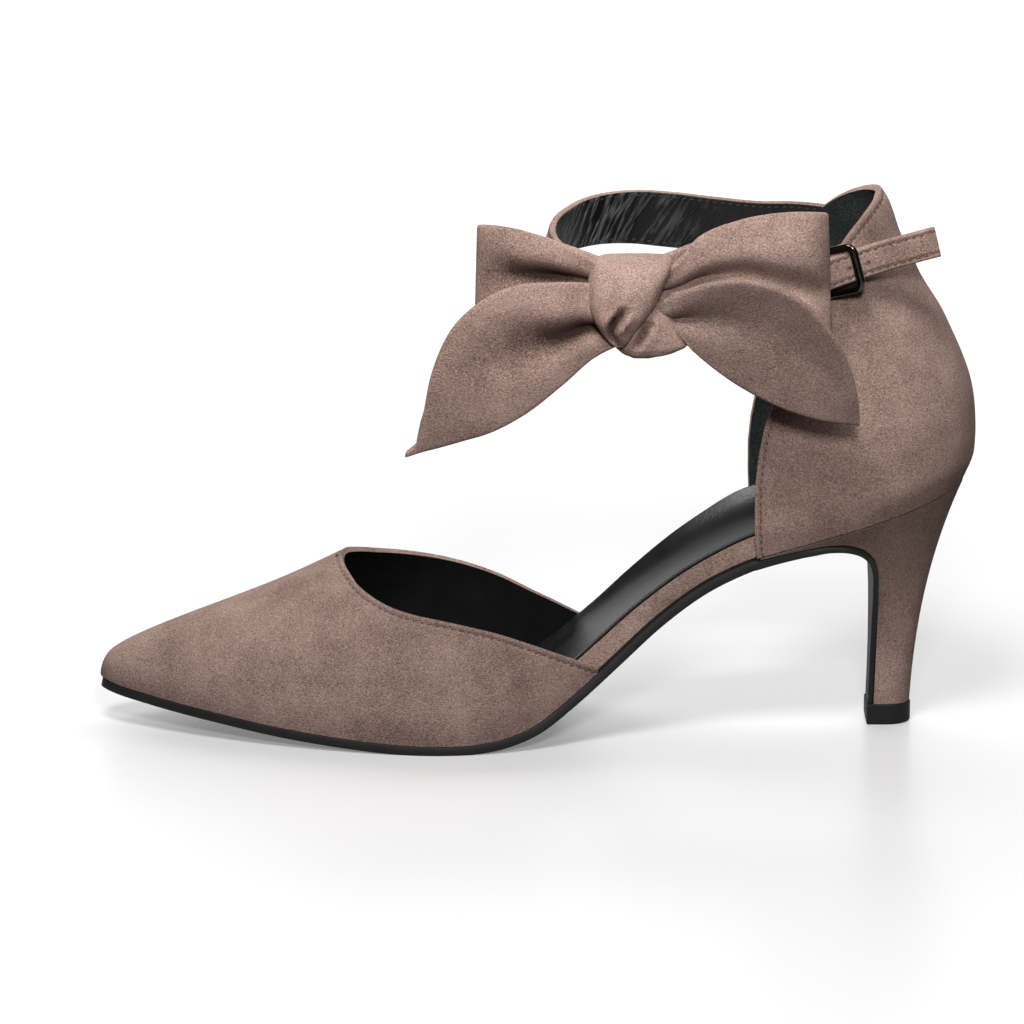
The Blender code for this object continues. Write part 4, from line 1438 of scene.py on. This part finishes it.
    def build_vamp(self) -> None:
        """The front shell, open at the throat, along the topline and underneath."""
        share = np.linspace(0.0, 1.0, self.columns + 1)
        path, out = self.topline_run()
        dense = spaced(path, self.edge_points)
        bm = bmesh.new()
        toe_x = self.throat_x * np.linspace(0.0, 1.0, self.toe_rows) ** self.toe_crowding
        for side in Side:
            for x in (toe_x, self.wing_x()):
                rings = self.vamp_places(x, side, share)
                self.shop.skin(bm, rings, edge_mm=distance_to(dense, rings))
        self.shop.close(bm, capped=False)
        bm.normal_update()
        highest = max(bm.faces, key=lambda face: face.calc_center_median().z)
        if highest.normal.z < 0.0:
            bmesh.ops.reverse_faces(bm, faces=bm.faces)
        vamp = self.shop.piece("vamp_shell", bm, [VAMP_SUEDE, LINING], Slot.SUEDE, "vamp")
        group = vamp.vertex_groups.new(name="wall")
        for vertex in vamp.data.vertices:
            from_tip = (vertex.co.x - self.shop.origin[0]) / MM
            wall = min(1.0, max(self.toe_wall_share, from_tip / self.toe_taper))
            group.add([vertex.index], wall, "REPLACE")
        self.shop.wall(vamp, self.vamp_wall, self.rim_round)
        along = unit(np.gradient(path, axis=0))
        away = unit(np.cross(along, out))
        seam = path + away * self.seam_in + out * self.stitching.lift
        self.stitching.sew("topline_stitches", [(seam, out)], THREAD)

    def counter_places(self) -> np.ndarray:
        """Places on the counter's outer face.

        Returns:
            Rows from the seat up, each from lateral front round the back to medial front.
        """
        first, last = self.counter[0].level, self.counter[-1].level
        level = np.linspace(first, last, self.counter_rows)
        back, nose, half = (Curve.of(self.counter, "level", name).at(level)[:, None]
                            for name in ("back", "nose", "half"))
        settle = ((last - level) / (last - first))[:, None] ** self.level_power
        share = np.linspace(0.0, 1.0, self.counter_columns // 2 + 1)
        halves = []
        for side in Side:
            levels = [row.level for row in self.counter]
            fronts = [getattr(row, "front_" + side.column) for row in self.counter]
            front = np.interp(level, levels, fronts)[:, None]
            side_x = back - nose
            turn = np.arccos(np.clip(1.0 - (back - front) / nose, 0.0, 1.0))
            run = share * (nose * turn + np.maximum(0.0, side_x - front))
            angle = np.minimum(run / nose, turn)
            beyond = run - nose * turn
            straight = beyond > 0.0
            x = np.where(straight, side_x - beyond, back - nose * (1.0 - np.cos(angle)))
            flat = half * self.last.half(np.minimum(x, self.last.nose_x), side) / self.last.seat_half
            y = np.where(straight, flat, half * np.sin(angle))
            seat = self.last.z(x) - self.last.z(self.counter[0].back)
            z = level[:, None] + self.heel_seam + seat * settle
            halves.append(np.stack([x, side.value * y, z], axis=-1))
        return np.concatenate([halves[0][:, ::-1], halves[1][:, 1:]], axis=1)

    def build_counter(self) -> None:
        """The back shell with its ears, its lining and its stitched edge."""
        rings = self.counter_places()
        edge = np.vstack([rings[:, 0], rings[::-1, -1]])
        bm = bmesh.new()
        self.shop.skin(bm, rings, edge_mm=distance_to(spaced(edge, self.edge_points), rings))
        bmesh.ops.recalc_face_normals(bm, faces=bm.faces)
        bm.normal_update()
        rearmost = max(bm.faces, key=lambda face: face.calc_center_median().x)
        if rearmost.normal.x < 0.0:
            bmesh.ops.reverse_faces(bm, faces=bm.faces)
        shell = self.shop.piece("counter_shell", bm, [COUNTER_SUEDE, DARK_SUEDE], Slot.SUEDE, "counter")
        self.shop.wall(shell, self.counter_wall, self.rim_round)
        runs = []
        for column, inner in ((0, 1), (-1, -2)):
            path = rings[:, column]
            inward = unit(rings[:, inner] - path)
            along = unit(np.gradient(path, axis=0))
            out = unit(np.cross(along, inward))
            out *= np.sign(out[:, 1:2] * path[:, 1:2])
            square = unit(np.cross(out, along))
            square *= np.sign(np.sum(square * inward, axis=1, keepdims=True))
            runs.append((path + square * self.seam_in + out * self.stitching.lift, out))
        self.stitching.sew("counter_stitches", runs, THREAD)

    def build(self) -> None:
        """Build and dress both shells."""
        self.build_vamp()
        self.build_counter()


class StrapRow(NamedTuple):
    """A point of the strap's middle line, with its width and the lean of its lower edge."""

    x: float
    y: float
    z: float
    width: float
    lean: float


@dataclass
class AnkleStrap:
    """The strap with its lining, its tail with pinholes, and the slide buckle."""

    shop: Workshop
    stitching: Stitching
    thickness: float = 1.8
    edge_round: float = 0.6
    stations: int = 260
    flat_steps: int = 12
    corner_steps: int = 3
    tail_start: int = 195
    inner_facing: float = -0.8
    seam_in: float = 1.3
    seam_ends: int = 3
    hole_radius: float = 0.55
    hole_depth: float = 7.2
    hole_segments: int = 20
    holes: tuple[tuple[float, float], ...] = ((200.4, 130.8), (205.4, 132.1))
    buckle_centre: tuple[float, float, float] = (197.7, -27.2, 130.1)
    buckle_length: float = 12.6
    buckle_height: float = 13.4
    buckle_bar: float = 2.2
    buckle_depth: float = 1.5
    buckle_corner: float = 1.9
    buckle_points: int = 96
    bar_points: int = 20
    bar_power: float = 0.75
    round_digits: int = 6
    buckle_rise_deg: float = 15.0
    buckle_plan_deg: float = -17.0
    table: tuple[StrapRow, ...] = (
        StrapRow(206.0, 20.0, 132.2, 11.5, 18.0),
        StrapRow(199.0, 23.4, 132.2, 12.5, 16.0),
        StrapRow(190.0, 26.6, 132.0, 13.4, 12.0),
        StrapRow(178.0, 29.4, 131.1, 14.4, 8.0),
        StrapRow(166.0, 30.6, 131.6, 15.2, 5.0),
        StrapRow(155.0, 30.6, 132.7, 15.5, 4.0),
        StrapRow(145.0, 29.4, 133.7, 15.0, 4.0),
        StrapRow(137.0, 26.4, 133.8, 14.4, 6.0),
        StrapRow(131.0, 22.2, 133.3, 14.0, 9.0),
        StrapRow(126.4, 17.0, 132.3, 13.9, 13.0),
        StrapRow(121.8, 8.0, 130.8, 13.9, 18.0),
        StrapRow(120.7, -2.0, 129.4, 14.0, 20.0),
        StrapRow(122.4, -11.5, 128.4, 14.0, 18.0),
        StrapRow(127.0, -20.0, 126.6, 14.0, 12.0),
        StrapRow(134.0, -25.4, 124.0, 13.8, 6.0),
        StrapRow(142.0, -28.4, 121.8, 13.6, 2.0),
        StrapRow(155.0, -31.6, 119.9, 13.0, 0.0),
        StrapRow(169.0, -31.8, 121.2, 11.5, 0.0),
        StrapRow(182.0, -30.4, 124.8, 9.4, 0.0),
        StrapRow(190.5, -29.0, 127.8, 8.2, 0.0),
        StrapRow(197.0, -27.4, 130.0, 8.2, 0.0),
        StrapRow(203.0, -26.0, 131.8, 8.2, 0.0),
        StrapRow(210.0, -24.8, 133.8, 8.2, 0.0),
        StrapRow(217.0, -24.0, 135.6, 8.2, 0.0),
        StrapRow(223.8, -23.4, 137.3, 8.2, 0.0),
    )

    def frames(self) -> tuple[np.ndarray, np.ndarray, np.ndarray, np.ndarray]:
        """The strap's middle line with its directions.

        Returns:
            Places, directions out of the strap, directions up its width, and widths.
        """
        rows = resample(self.table, self.stations)
        run = unit(np.gradient(rows[:, :3], axis=0))
        level_out = unit(np.cross(run, np.array([0.0, 0.0, 1.0])))
        upright = np.cross(level_out, run)
        tilt = np.radians(rows[:, 4])[:, None]
        out = level_out * np.cos(tilt) + upright * np.sin(tilt)
        up = upright * np.cos(tilt) - level_out * np.sin(tilt)
        return rows[:, :3], out, up, rows[:, 3]

    def build_strap(self) -> None:
        """The strap, suede outside and leather inside, with the tail's pinholes."""
        middle, out, up, width = self.frames()
        across, edge, depth, bend = band_section(self.flat_steps, self.corner_steps).T
        rise = across * (width[:, None] / 2 - self.edge_round) + edge * self.edge_round
        sink = depth * (self.thickness - 2 * self.edge_round) + bend * self.edge_round - self.thickness / 2
        rings = middle[:, None] + up[:, None] * rise[..., None] - out[:, None] * sink[None, :, None]
        bm = self.shop.loft(rings, edge_mm=width[:, None] / 2 - np.abs(rise))
        line = self.shop.row(middle)
        for face in bm.faces:
            nearest = int(np.argmin(np.linalg.norm(line - np.array(face.calc_center_median()), axis=1)))
            if np.dot(np.array(face.normal), out[nearest]) < self.inner_facing:
                face.material_index = 1
        strap = self.shop.piece("strap_band", bm, [STRAP_SUEDE, STRAP_LINING], Slot.SUEDE, "ankle_strap")
        self.shop.carve(strap, [self.pinhole(x, z) for x, z in self.holes])
        self.sew_edges(middle, out, up, width)

    def pinhole(self, x: float, z: float) -> bmesh.types.BMesh:
        """A round cutter through the tail.

        Args:
            x: where it is along the shoe.
            z: its height.

        Returns:
            The cutter.
        """
        middle, out, _, _ = self.frames()
        tail = slice(self.tail_start, None)
        nearest = int(np.argmin(np.hypot(middle[tail, 0] - x, middle[tail, 2] - z))) + self.tail_start
        place = self.shop.row(np.array([x, middle[nearest, 1], z]))
        turn = Vector((0.0, 0.0, 1.0)).rotation_difference(Vector(out[nearest])).to_matrix().to_4x4()
        bm = bmesh.new()
        bmesh.ops.create_cone(bm, cap_ends=True, segments=self.hole_segments, radius1=self.hole_radius * MM,
                              radius2=self.hole_radius * MM, depth=self.hole_depth * MM,
                              matrix=Matrix.Translation(place) @ turn)
        return bm

    def sew_edges(self, middle: np.ndarray, out: np.ndarray, up: np.ndarray, width: np.ndarray) -> None:
        """Stitch both edges of the strap, outside in taupe and inside in black.

        Args:
            middle: the strap's middle line.
            out: directions out of the strap.
            up: directions up its width.
            width: its widths.
        """
        sewn = slice(self.seam_ends, -self.seam_ends)
        faces = (("strap_stitches", 1.0, THREAD), ("strap_lining_stitches", -1.0, BLACK_THREAD))
        for name, face, finish in faces:
            runs = []
            for edge in (1.0, -1.0):
                path = middle + up * (edge * (width[:, None] / 2 - self.seam_in))
                path = path + out * (face * self.thickness / 2)
                runs.append((path[sewn], out[sewn] * face))
            self.stitching.sew(name, runs, finish)

    def build_buckle(self) -> None:
        """The slide buckle: a rounded rectangle of flattened bar."""
        reach_u = (self.buckle_length - self.buckle_bar) / 2 - self.buckle_corner
        reach_v = (self.buckle_height - self.buckle_bar) / 2 - self.buckle_corner
        turns = full_turn(self.buckle_points)
        out = np.column_stack([np.cos(turns), np.sin(turns)])
        quarter = np.sign(np.round(out, self.round_digits))
        path = quarter * np.array([reach_u, reach_v]) + out * self.buckle_corner
        wide, deep = squared_round(full_turn(self.bar_points), self.bar_power)
        wide, deep = wide * self.buckle_bar / 2, deep * self.buckle_depth / 2
        flat = path[:, None] + out[:, None] * wide[None, :, None]
        local = np.concatenate([flat, np.broadcast_to(deep[None, :, None], flat.shape[:2] + (1,))], axis=-1)
        turn = Matrix.Rotation(math.radians(self.buckle_plan_deg), 3, "Z")
        turn = turn @ Matrix.Rotation(-math.radians(self.buckle_rise_deg), 3, "Y")
        turn = turn @ Matrix.Rotation(math.pi / 2, 3, "X")
        rings = local @ np.array(turn).T + np.array(self.buckle_centre)
        bm = self.shop.loft(np.concatenate([rings, rings[:1]], axis=0), capped=False)
        self.shop.piece("buckle_frame", bm, [GUNMETAL], Slot.GUNMETAL, "buckle")

    def build(self) -> None:
        """Build and dress the strap and the buckle."""
        self.build_strap()
        self.build_buckle()


class Hold(Enum):
    """How the knot holds a ribbon."""

    FOLDED = "folded"
    HUNG = "hung"


class Fold(NamedTuple):
    """A fold of a ribbon: a line from its upper to its lower edge, with its belly and its crease."""

    up_x: float
    up_y: float
    up_z: float
    low_x: float
    low_y: float
    low_z: float
    belly: float
    crease: float
    crease_at: float
    reach: float


class KnotRow(NamedTuple):
    """A level section of the knot."""

    z: float
    left: float
    right: float
    front: float
    back: float


class CreaseRow(NamedTuple):
    """A point of a crease in the knot, with its depth."""

    x: float
    z: float
    depth: float


@dataclass
class Bow:
    """The bow: two loops, two tails, and the knot with its tuck."""

    shop: Workshop
    thickness: float = 1.8
    columns: int = 30
    edge_steps: int = 6
    rows_per_fold: int = 10
    knot_points: int = 128
    knot_rows: int = 110
    squareness: float = 3.6
    crease_points: int = 60
    crease_reach: float = 0.95
    roll_share: float = 0.42
    roll_at: float = 2.2
    roll_reach: float = 1.3
    roll_far_share: float = 0.3
    toe_loop: tuple[Fold, ...] = (
        Fold(136.1, -45.5, 135.2, 136.1, -45.5, 126.3, 0.0, 5.8, 0.42, 0.12),
        Fold(132.2, -46.8, 137.8, 132.2, -45.3, 125.3, -0.5, 4.4, 0.46, 0.14),
        Fold(124.4, -46.4, 141.3, 124.5, -43.5, 122.7, 1.6, 6.0, 0.51, 0.14),
        Fold(114.1, -46.0, 144.9, 114.1, -43.5, 119.1, 3.0, 5.0, 0.54, 0.15),
        Fold(107.0, -45.0, 145.9, 106.9, -42.5, 116.6, 2.0, 1.6, 0.55, 0.20),
        Fold(103.8, -42.0, 145.5, 103.0, -39.5, 114.7, 0.0, 0.0, 0.50, 0.20),
        Fold(106.5, -39.0, 144.8, 106.2, -36.5, 116.2, -0.5, 0.0, 0.50, 0.20),
        Fold(116.0, -37.0, 142.6, 116.0, -36.0, 120.0, -0.5, 0.0, 0.50, 0.20),
        Fold(126.0, -38.0, 139.5, 126.0, -37.0, 123.3, 0.0, 0.0, 0.50, 0.20),
        Fold(136.0, -40.0, 136.2, 136.0, -39.5, 126.5, 0.0, 0.0, 0.50, 0.20),
    )
    heel_loop: tuple[Fold, ...] = (
        Fold(149.0, -45.5, 134.0, 149.1, -45.5, 125.8, 0.0, 5.8, 0.22, 0.12),
        Fold(153.6, -46.8, 135.9, 153.5, -45.3, 124.8, -0.5, 4.4, 0.33, 0.14),
        Fold(160.2, -46.0, 142.9, 160.8, -44.0, 122.8, 1.8, 6.0, 0.42, 0.13),
        Fold(170.8, -45.4, 147.3, 171.3, -44.0, 120.1, 3.4, 5.2, 0.47, 0.14),
        Fold(183.7, -45.0, 149.3, 184.4, -43.0, 117.2, 3.2, 5.0, 0.38, 0.15),
        Fold(191.0, -44.0, 149.1, 192.6, -41.4, 115.6, 1.6, 3.8, 0.33, 0.16),
        Fold(193.2, -41.2, 148.4, 194.6, -38.5, 114.8, 0.0, 1.0, 0.30, 0.20),
        Fold(189.2, -38.0, 147.3, 190.2, -36.5, 116.0, -0.5, 0.0, 0.50, 0.20),
        Fold(176.5, -37.0, 145.2, 176.5, -36.0, 119.0, -0.5, 0.0, 0.50, 0.20),
        Fold(161.0, -38.0, 140.6, 161.0, -37.0, 123.0, 0.0, 0.0, 0.50, 0.20),
        Fold(149.0, -40.0, 136.3, 149.0, -39.5, 126.5, 0.0, 0.0, 0.50, 0.20),
    )
    toe_tail: tuple[Fold, ...] = (
        Fold(136.0, -48.8, 130.7, 139.5, -48.4, 114.7, 0.0, 3.8, 0.26, 0.11),
        Fold(130.9, -49.4, 131.6, 133.5, -47.6, 111.4, 0.8, 6.4, 0.38, 0.12),
        Fold(121.8, -50.6, 131.9, 125.0, -48.2, 104.1, 1.8, 5.2, 0.46, 0.15),
        Fold(112.8, -51.2, 131.2, 115.9, -48.5, 96.8, 2.2, 2.8, 0.54, 0.20),
        Fold(103.7, -51.5, 127.0, 106.8, -48.0, 91.6, 2.0, 1.4, 0.58, 0.22),
        Fold(96.2, -51.0, 119.5, 99.0, -46.5, 88.8, 1.5, 0.6, 0.60, 0.24),
        Fold(91.5, -49.5, 108.6, 93.2, -45.5, 86.9, 1.0, 0.2, 0.60, 0.24),
        Fold(89.4, -47.5, 97.0, 89.0, -45.0, 85.7, 0.5, 0.0, 0.60, 0.24),
        Fold(86.7, -45.2, 87.6, 85.4, -44.6, 84.5, 0.0, 0.0, 0.60, 0.24),
        Fold(84.6, -45.0, 85.9, 84.0, -44.8, 84.1, 0.0, 0.0, 0.60, 0.24),
    )
    heel_tail: tuple[Fold, ...] = (
        Fold(149.0, -48.8, 126.2, 156.6, -48.4, 115.5, 0.0, 4.0, 0.56, 0.12),
        Fold(153.4, -49.8, 128.2, 160.3, -47.6, 111.9, 0.4, 4.8, 0.60, 0.13),
        Fold(160.5, -52.6, 131.6, 166.6, -46.0, 106.5, 0.0, 3.0, 0.62, 0.20),
        Fold(170.8, -54.8, 133.5, 173.9, -44.6, 101.5, -0.4, 2.0, 0.60, 0.26),
        Fold(180.6, -55.2, 131.4, 182.4, -43.4, 97.0, -0.4, 1.4, 0.60, 0.30),
        Fold(188.5, -54.2, 126.4, 190.3, -42.6, 94.1, -0.4, 1.0, 0.58, 0.30),
        Fold(195.1, -52.0, 118.4, 196.6, -42.0, 92.7, 0.0, 0.5, 0.54, 0.30),
        Fold(199.8, -48.6, 109.1, 200.4, -41.4, 92.2, 0.2, 0.0, 0.50, 0.30),
        Fold(202.5, -44.0, 98.6, 202.8, -41.0, 91.8, 0.0, 0.0, 0.50, 0.30),
    )
    wrap: tuple[KnotRow, ...] = (
        KnotRow(137.4, 137.5, 150.5, -45.5, -40.0),
        KnotRow(136.4, 134.0, 153.4, -49.6, -36.0),
        KnotRow(133.6, 132.2, 153.0, -53.0, -32.6),
        KnotRow(129.5, 131.5, 151.2, -54.8, -29.8),
        KnotRow(125.5, 131.6, 149.6, -55.0, -29.8),
        KnotRow(122.0, 132.6, 147.2, -54.8, -29.8),
        KnotRow(119.0, 134.4, 144.8, -54.0, -30.0),
        KnotRow(116.6, 136.2, 143.0, -53.1, -32.0),
        KnotRow(114.9, 138.0, 141.3, -51.6, -37.0),
    )
    tuck: tuple[KnotRow, ...] = (
        KnotRow(127.0, 146.0, 150.0, -48.0, -38.0),
        KnotRow(124.5, 143.4, 151.9, -49.6, -36.0),
        KnotRow(121.0, 141.4, 154.2, -50.7, -34.0),
        KnotRow(117.6, 139.4, 156.2, -51.0, -33.3),
        KnotRow(114.8, 138.4, 157.8, -50.8, -33.3),
        KnotRow(112.9, 139.8, 155.0, -50.2, -36.4),
        KnotRow(111.4, 142.8, 148.8, -48.8, -40.0),
    )
    wrap_crease: tuple[CreaseRow, ...] = (
        CreaseRow(142.0, 126.4, 0.0),
        CreaseRow(140.6, 124.6, 2.4),
        CreaseRow(139.2, 122.8, 4.6),
        CreaseRow(138.1, 121.0, 5.2),
        CreaseRow(137.6, 119.1, 4.2),
        CreaseRow(138.2, 117.0, 2.6),
        CreaseRow(139.2, 115.6, 1.0),
    )
    tuck_crease: tuple[CreaseRow, ...] = (
        CreaseRow(147.0, 120.6, 1.6),
        CreaseRow(145.9, 118.0, 2.6),
        CreaseRow(144.8, 115.6, 1.6),
        CreaseRow(143.6, 113.6, 0.0),
    )

    def ribbon(self, name: str, folds: Sequence[Fold], node: str,
               suede: Suede = BOW_SUEDE) -> None:
        """A ribbon of double suede through its folds, with full round edges.

        Args:
            name: the piece's name.
            folds: its folds, from the knot outwards.
            node: the solid that it stands for.
            suede: its finish.
        """
        rows = resample(folds, (len(folds) - 1) * self.rows_per_fold + 1)
        half = self.thickness / 2
        edge_in = unit(rows[:, 0:3] - rows[:, 3:6]) * half
        up, low = (rows[:, 0:3] - edge_in)[:, None], (rows[:, 3:6] + edge_in)[:, None]
        share = np.linspace(0.0, 1.0, self.columns + 1)[None, :, None]
        sizes = dict(zip(Fold._fields, rows.T))
        belly, crease, at, reach = (sizes[column][:, None, None]
                                    for column in ("belly", "crease", "crease_at", "reach"))
        valley = crease * np.exp(-(((share - at) / reach) ** 2))
        middle = low + (up - low) * share
        middle = middle + np.array([0.0, -1.0, 0.0]) * (belly * 4.0 * share * (1.0 - share) - valley)
        along = np.gradient(middle, axis=0)
        across = unit(np.gradient(middle, axis=1))
        normal = unit(np.cross(across, along))
        turns = np.linspace(0.0, math.pi, self.edge_steps + 1)[1:-1][None, :, None]
        front, back = middle + normal * half, middle - normal * half
        rim, side = half * np.cos(turns), half * np.sin(turns)
        upper = middle[:, -1:] + normal[:, -1:] * rim + across[:, -1:] * side
        lower = middle[:, :1] - normal[:, :1] * rim - across[:, :1] * side
        rings = np.concatenate([front, upper, back[:, ::-1], lower], axis=1)
        fold = np.zeros(rings.shape[:2])
        # The front face carries its valley depth, which the suede turns into painted shade in the crease.
        fold[:, :self.columns + 1] = valley[..., 0]
        thing = self.shop.piece(name, self.shop.loft(rings, fold_mm=fold), [suede], Slot.SUEDE, node)
        steps_along, steps_across = np.diff(middle, axis=0), np.diff(middle, axis=1)
        area = np.linalg.norm(np.cross(steps_along[:, :-1], steps_across[:-1]), axis=-1).sum()
        area += 2 * half * np.linalg.norm(steps_along[:, 0], axis=-1).sum()

    def lump(self, rows: Sequence[KnotRow], crease: Sequence[CreaseRow]) -> bmesh.types.BMesh:
        """A rounded part of the knot through level sections, with a crease in its front.

        Args:
            rows: its sections, from the top down.
            crease: the crease, from its shallow end.

        Returns:
            The mesh.
        """
        table = resample(rows, self.knot_rows)
        round_x, round_y = squared_round(full_turn(self.knot_points), 2 / self.squareness)
        z, left, right, front, back = (column[:, None] for column in table.T)
        x = (left + right) / 2 + (right - left) / 2 * round_x
        y = (front + back) / 2 + (back - front) / 2 * round_y
        z = np.broadcast_to(z, x.shape)
        line = resample(crease, self.crease_points)
        apart = np.hypot(x[..., None] - line[:, 0], z[..., None] - line[:, 1])
        nearest = np.argmin(apart, axis=-1)
        gap = np.take_along_axis(apart, nearest[..., None], axis=-1)[..., 0]
        depth = line[nearest, 2]
        valley = depth * np.exp(-((gap / self.crease_reach) ** 2))
        roll = self.roll_share * depth * np.exp(-(((gap - self.roll_at) / self.roll_reach) ** 2))
        roll = roll * np.where(x > line[nearest, 0], 1.0, self.roll_far_share)
        facing = np.clip(-round_y, 0.0, 1.0)
        y = y + (valley - roll) * facing
        # The valley depth on the knot's front is turned into painted shade in its creases.
        return self.shop.loft(np.stack([x, y, z], axis=-1), fold_mm=valley * facing)

    def build(self) -> None:
        """Build and dress the bow's pieces."""
        self.ribbon("toe_loop_ribbon", self.toe_loop, "bow_loop_toe")
        self.ribbon("heel_loop_ribbon", self.heel_loop, "bow_loop_heel")
        self.ribbon("toe_tail_ribbon", self.toe_tail, "bow_tail_toe")
        # The heel tail takes the darker suede: painted shade on its downward-facing face.
        self.ribbon("heel_tail_ribbon", self.heel_tail, "bow_tail_heel", SHADED_TAIL_SUEDE)
        wrap = self.lump(self.wrap, self.wrap_crease)
        self.shop.piece("knot_wrap", wrap, [BOW_SUEDE], Slot.SUEDE, "bow_knot")
        tuck = self.lump(self.tuck, self.tuck_crease)
        self.shop.piece("knot_tuck", tuck, [BOW_SUEDE], Slot.SUEDE)


class SoftBox(NamedTuple):
    """A soft box, placed in metres from the shoe's middle; glossy surfaces show it if it is mirrored."""

    name: str
    place: tuple[float, float, float]
    looks_at: tuple[float, float, float]
    size: tuple[float, float]
    watts: float
    spread_deg: float
    mirrored: bool


@dataclass
class Studio:
    """A pale flat floor, soft lights and the camera."""

    shop: Workshop
    aim: tuple[float, float, float] = (112.0, 0.0, 58.2)
    elevation_deg: float = 14.0
    distance: float = 1500.0
    pixels_per_mm: float = 3.70
    sensor: float = 36.0
    sight_m: float = 50.0
    floor_size: float = 9000.0
    floor_colour: Colour = (0.46, 0.46, 0.46)
    floor_glow: float = 0.2
    floor_roughness: float = 0.32
    surround: float = 0.04
    soft_boxes: tuple[SoftBox, ...] = (
        SoftBox("key", (-0.1, -0.5, 0.82), (0.0, 0.0, 0.0), (0.26, 0.26), 9.0, 180.0, True),
        SoftBox("front", (0.06, -0.95, 0.5), (0.0, 0.0, 0.0), (0.14, 0.14), 7.2, 180.0, True),
        SoftBox("back", (0.0, 1.1, 1.1), (0.0, 1.0, 0.0), (2.6, 1.0), 26.0, 120.0, False),
        SoftBox("backdrop", (0.0, 1.9, 0.5), (0.0, 0.0, 0.0), (4.0, 1.2), 15.0, 180.0, True),
    )

    def build_camera(self) -> None:
        """The camera, looking along +Y from the photo's height."""
        rise = math.radians(self.elevation_deg)
        aim = Vector(self.shop.row(np.array(self.aim)))
        back = Vector((0.0, -math.cos(rise), math.sin(rise)))
        lens = bpy.data.cameras.new("camera")
        lens.sensor_width = self.sensor
        lens.lens = self.pixels_per_mm * self.distance / IMAGE_PIXELS * self.sensor
        lens.clip_end = self.sight_m
        camera = bpy.data.objects.new("camera", lens)
        camera.location = aim + back * self.distance * MM
        camera.rotation_euler = back.to_track_quat("Z", "Y").to_euler()
        bpy.context.scene.collection.objects.link(camera)
        bpy.context.scene.camera = camera

    def build_floor(self) -> None:
        """The floor."""
        bm = bmesh.new()
        bmesh.ops.create_grid(bm, x_segments=2, y_segments=2, size=self.floor_size * MM / 2)
        mesh = bpy.data.meshes.new("floor")
        bm.to_mesh(mesh)
        bm.free()
        floor = bpy.data.objects.new("floor", mesh)
        bpy.context.scene.collection.objects.link(floor)
        bench = NodeBench("floor_white")
        bench.tune({"Base Color": (*self.floor_colour, 1.0), "Roughness": self.floor_roughness,
                    "Emission Color": WHITE, "Emission Strength": self.floor_glow})
        mesh.materials.append(bench.material)
        floor.visible_diffuse = False
        floor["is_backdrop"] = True

    def add_light(self, box: SoftBox) -> None:
        """Hang a soft box.

        Args:
            box: its size, power and place.
        """
        lamp = bpy.data.lights.new(box.name, "AREA")
        lamp.shape = "RECTANGLE"
        lamp.size, lamp.size_y = box.size
        lamp.energy = box.watts
        lamp.spread = math.radians(box.spread_deg)
        light = bpy.data.objects.new(box.name, lamp)
        middle = Vector(self.shop.row(np.array(self.aim)))
        away = Vector(box.place) - Vector(box.looks_at)
        light.visible_glossy = box.mirrored
        light.location = middle + Vector(box.place)
        light.rotation_euler = away.to_track_quat("Z", "Y").to_euler()
        bpy.context.scene.collection.objects.link(light)

    def build_lights(self) -> None:
        """The soft boxes and a faint white surround."""
        for box in self.soft_boxes:
            self.add_light(box)
        world = bpy.data.worlds.new("surround")
        world.use_nodes = True
        background = world.node_tree.nodes["Background"]
        background.inputs["Color"].default_value = WHITE
        background.inputs["Strength"].default_value = self.surround
        bpy.context.scene.world = world
        bpy.context.scene.view_settings.view_transform = "Standard"

    def build(self) -> None:
        """Set up the studio."""
        self.build_camera()
        self.build_floor()
        self.build_lights()


def main() -> None:
    """Load the frame and dress it, piece by piece."""
    logging.basicConfig(level=logging.INFO, format="%(name)s %(message)s")
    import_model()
    shop = Workshop.at_frame()
    last = Last()
    stitching = Stitching(shop)
    Studio(shop).build()
    for part in (Sole(shop, last), Footbed(shop, last), Upper(shop, last, stitching),
                 AnkleStrap(shop, stitching), Bow(shop)):
        part.build()


if __name__ == "__main__":
    main()
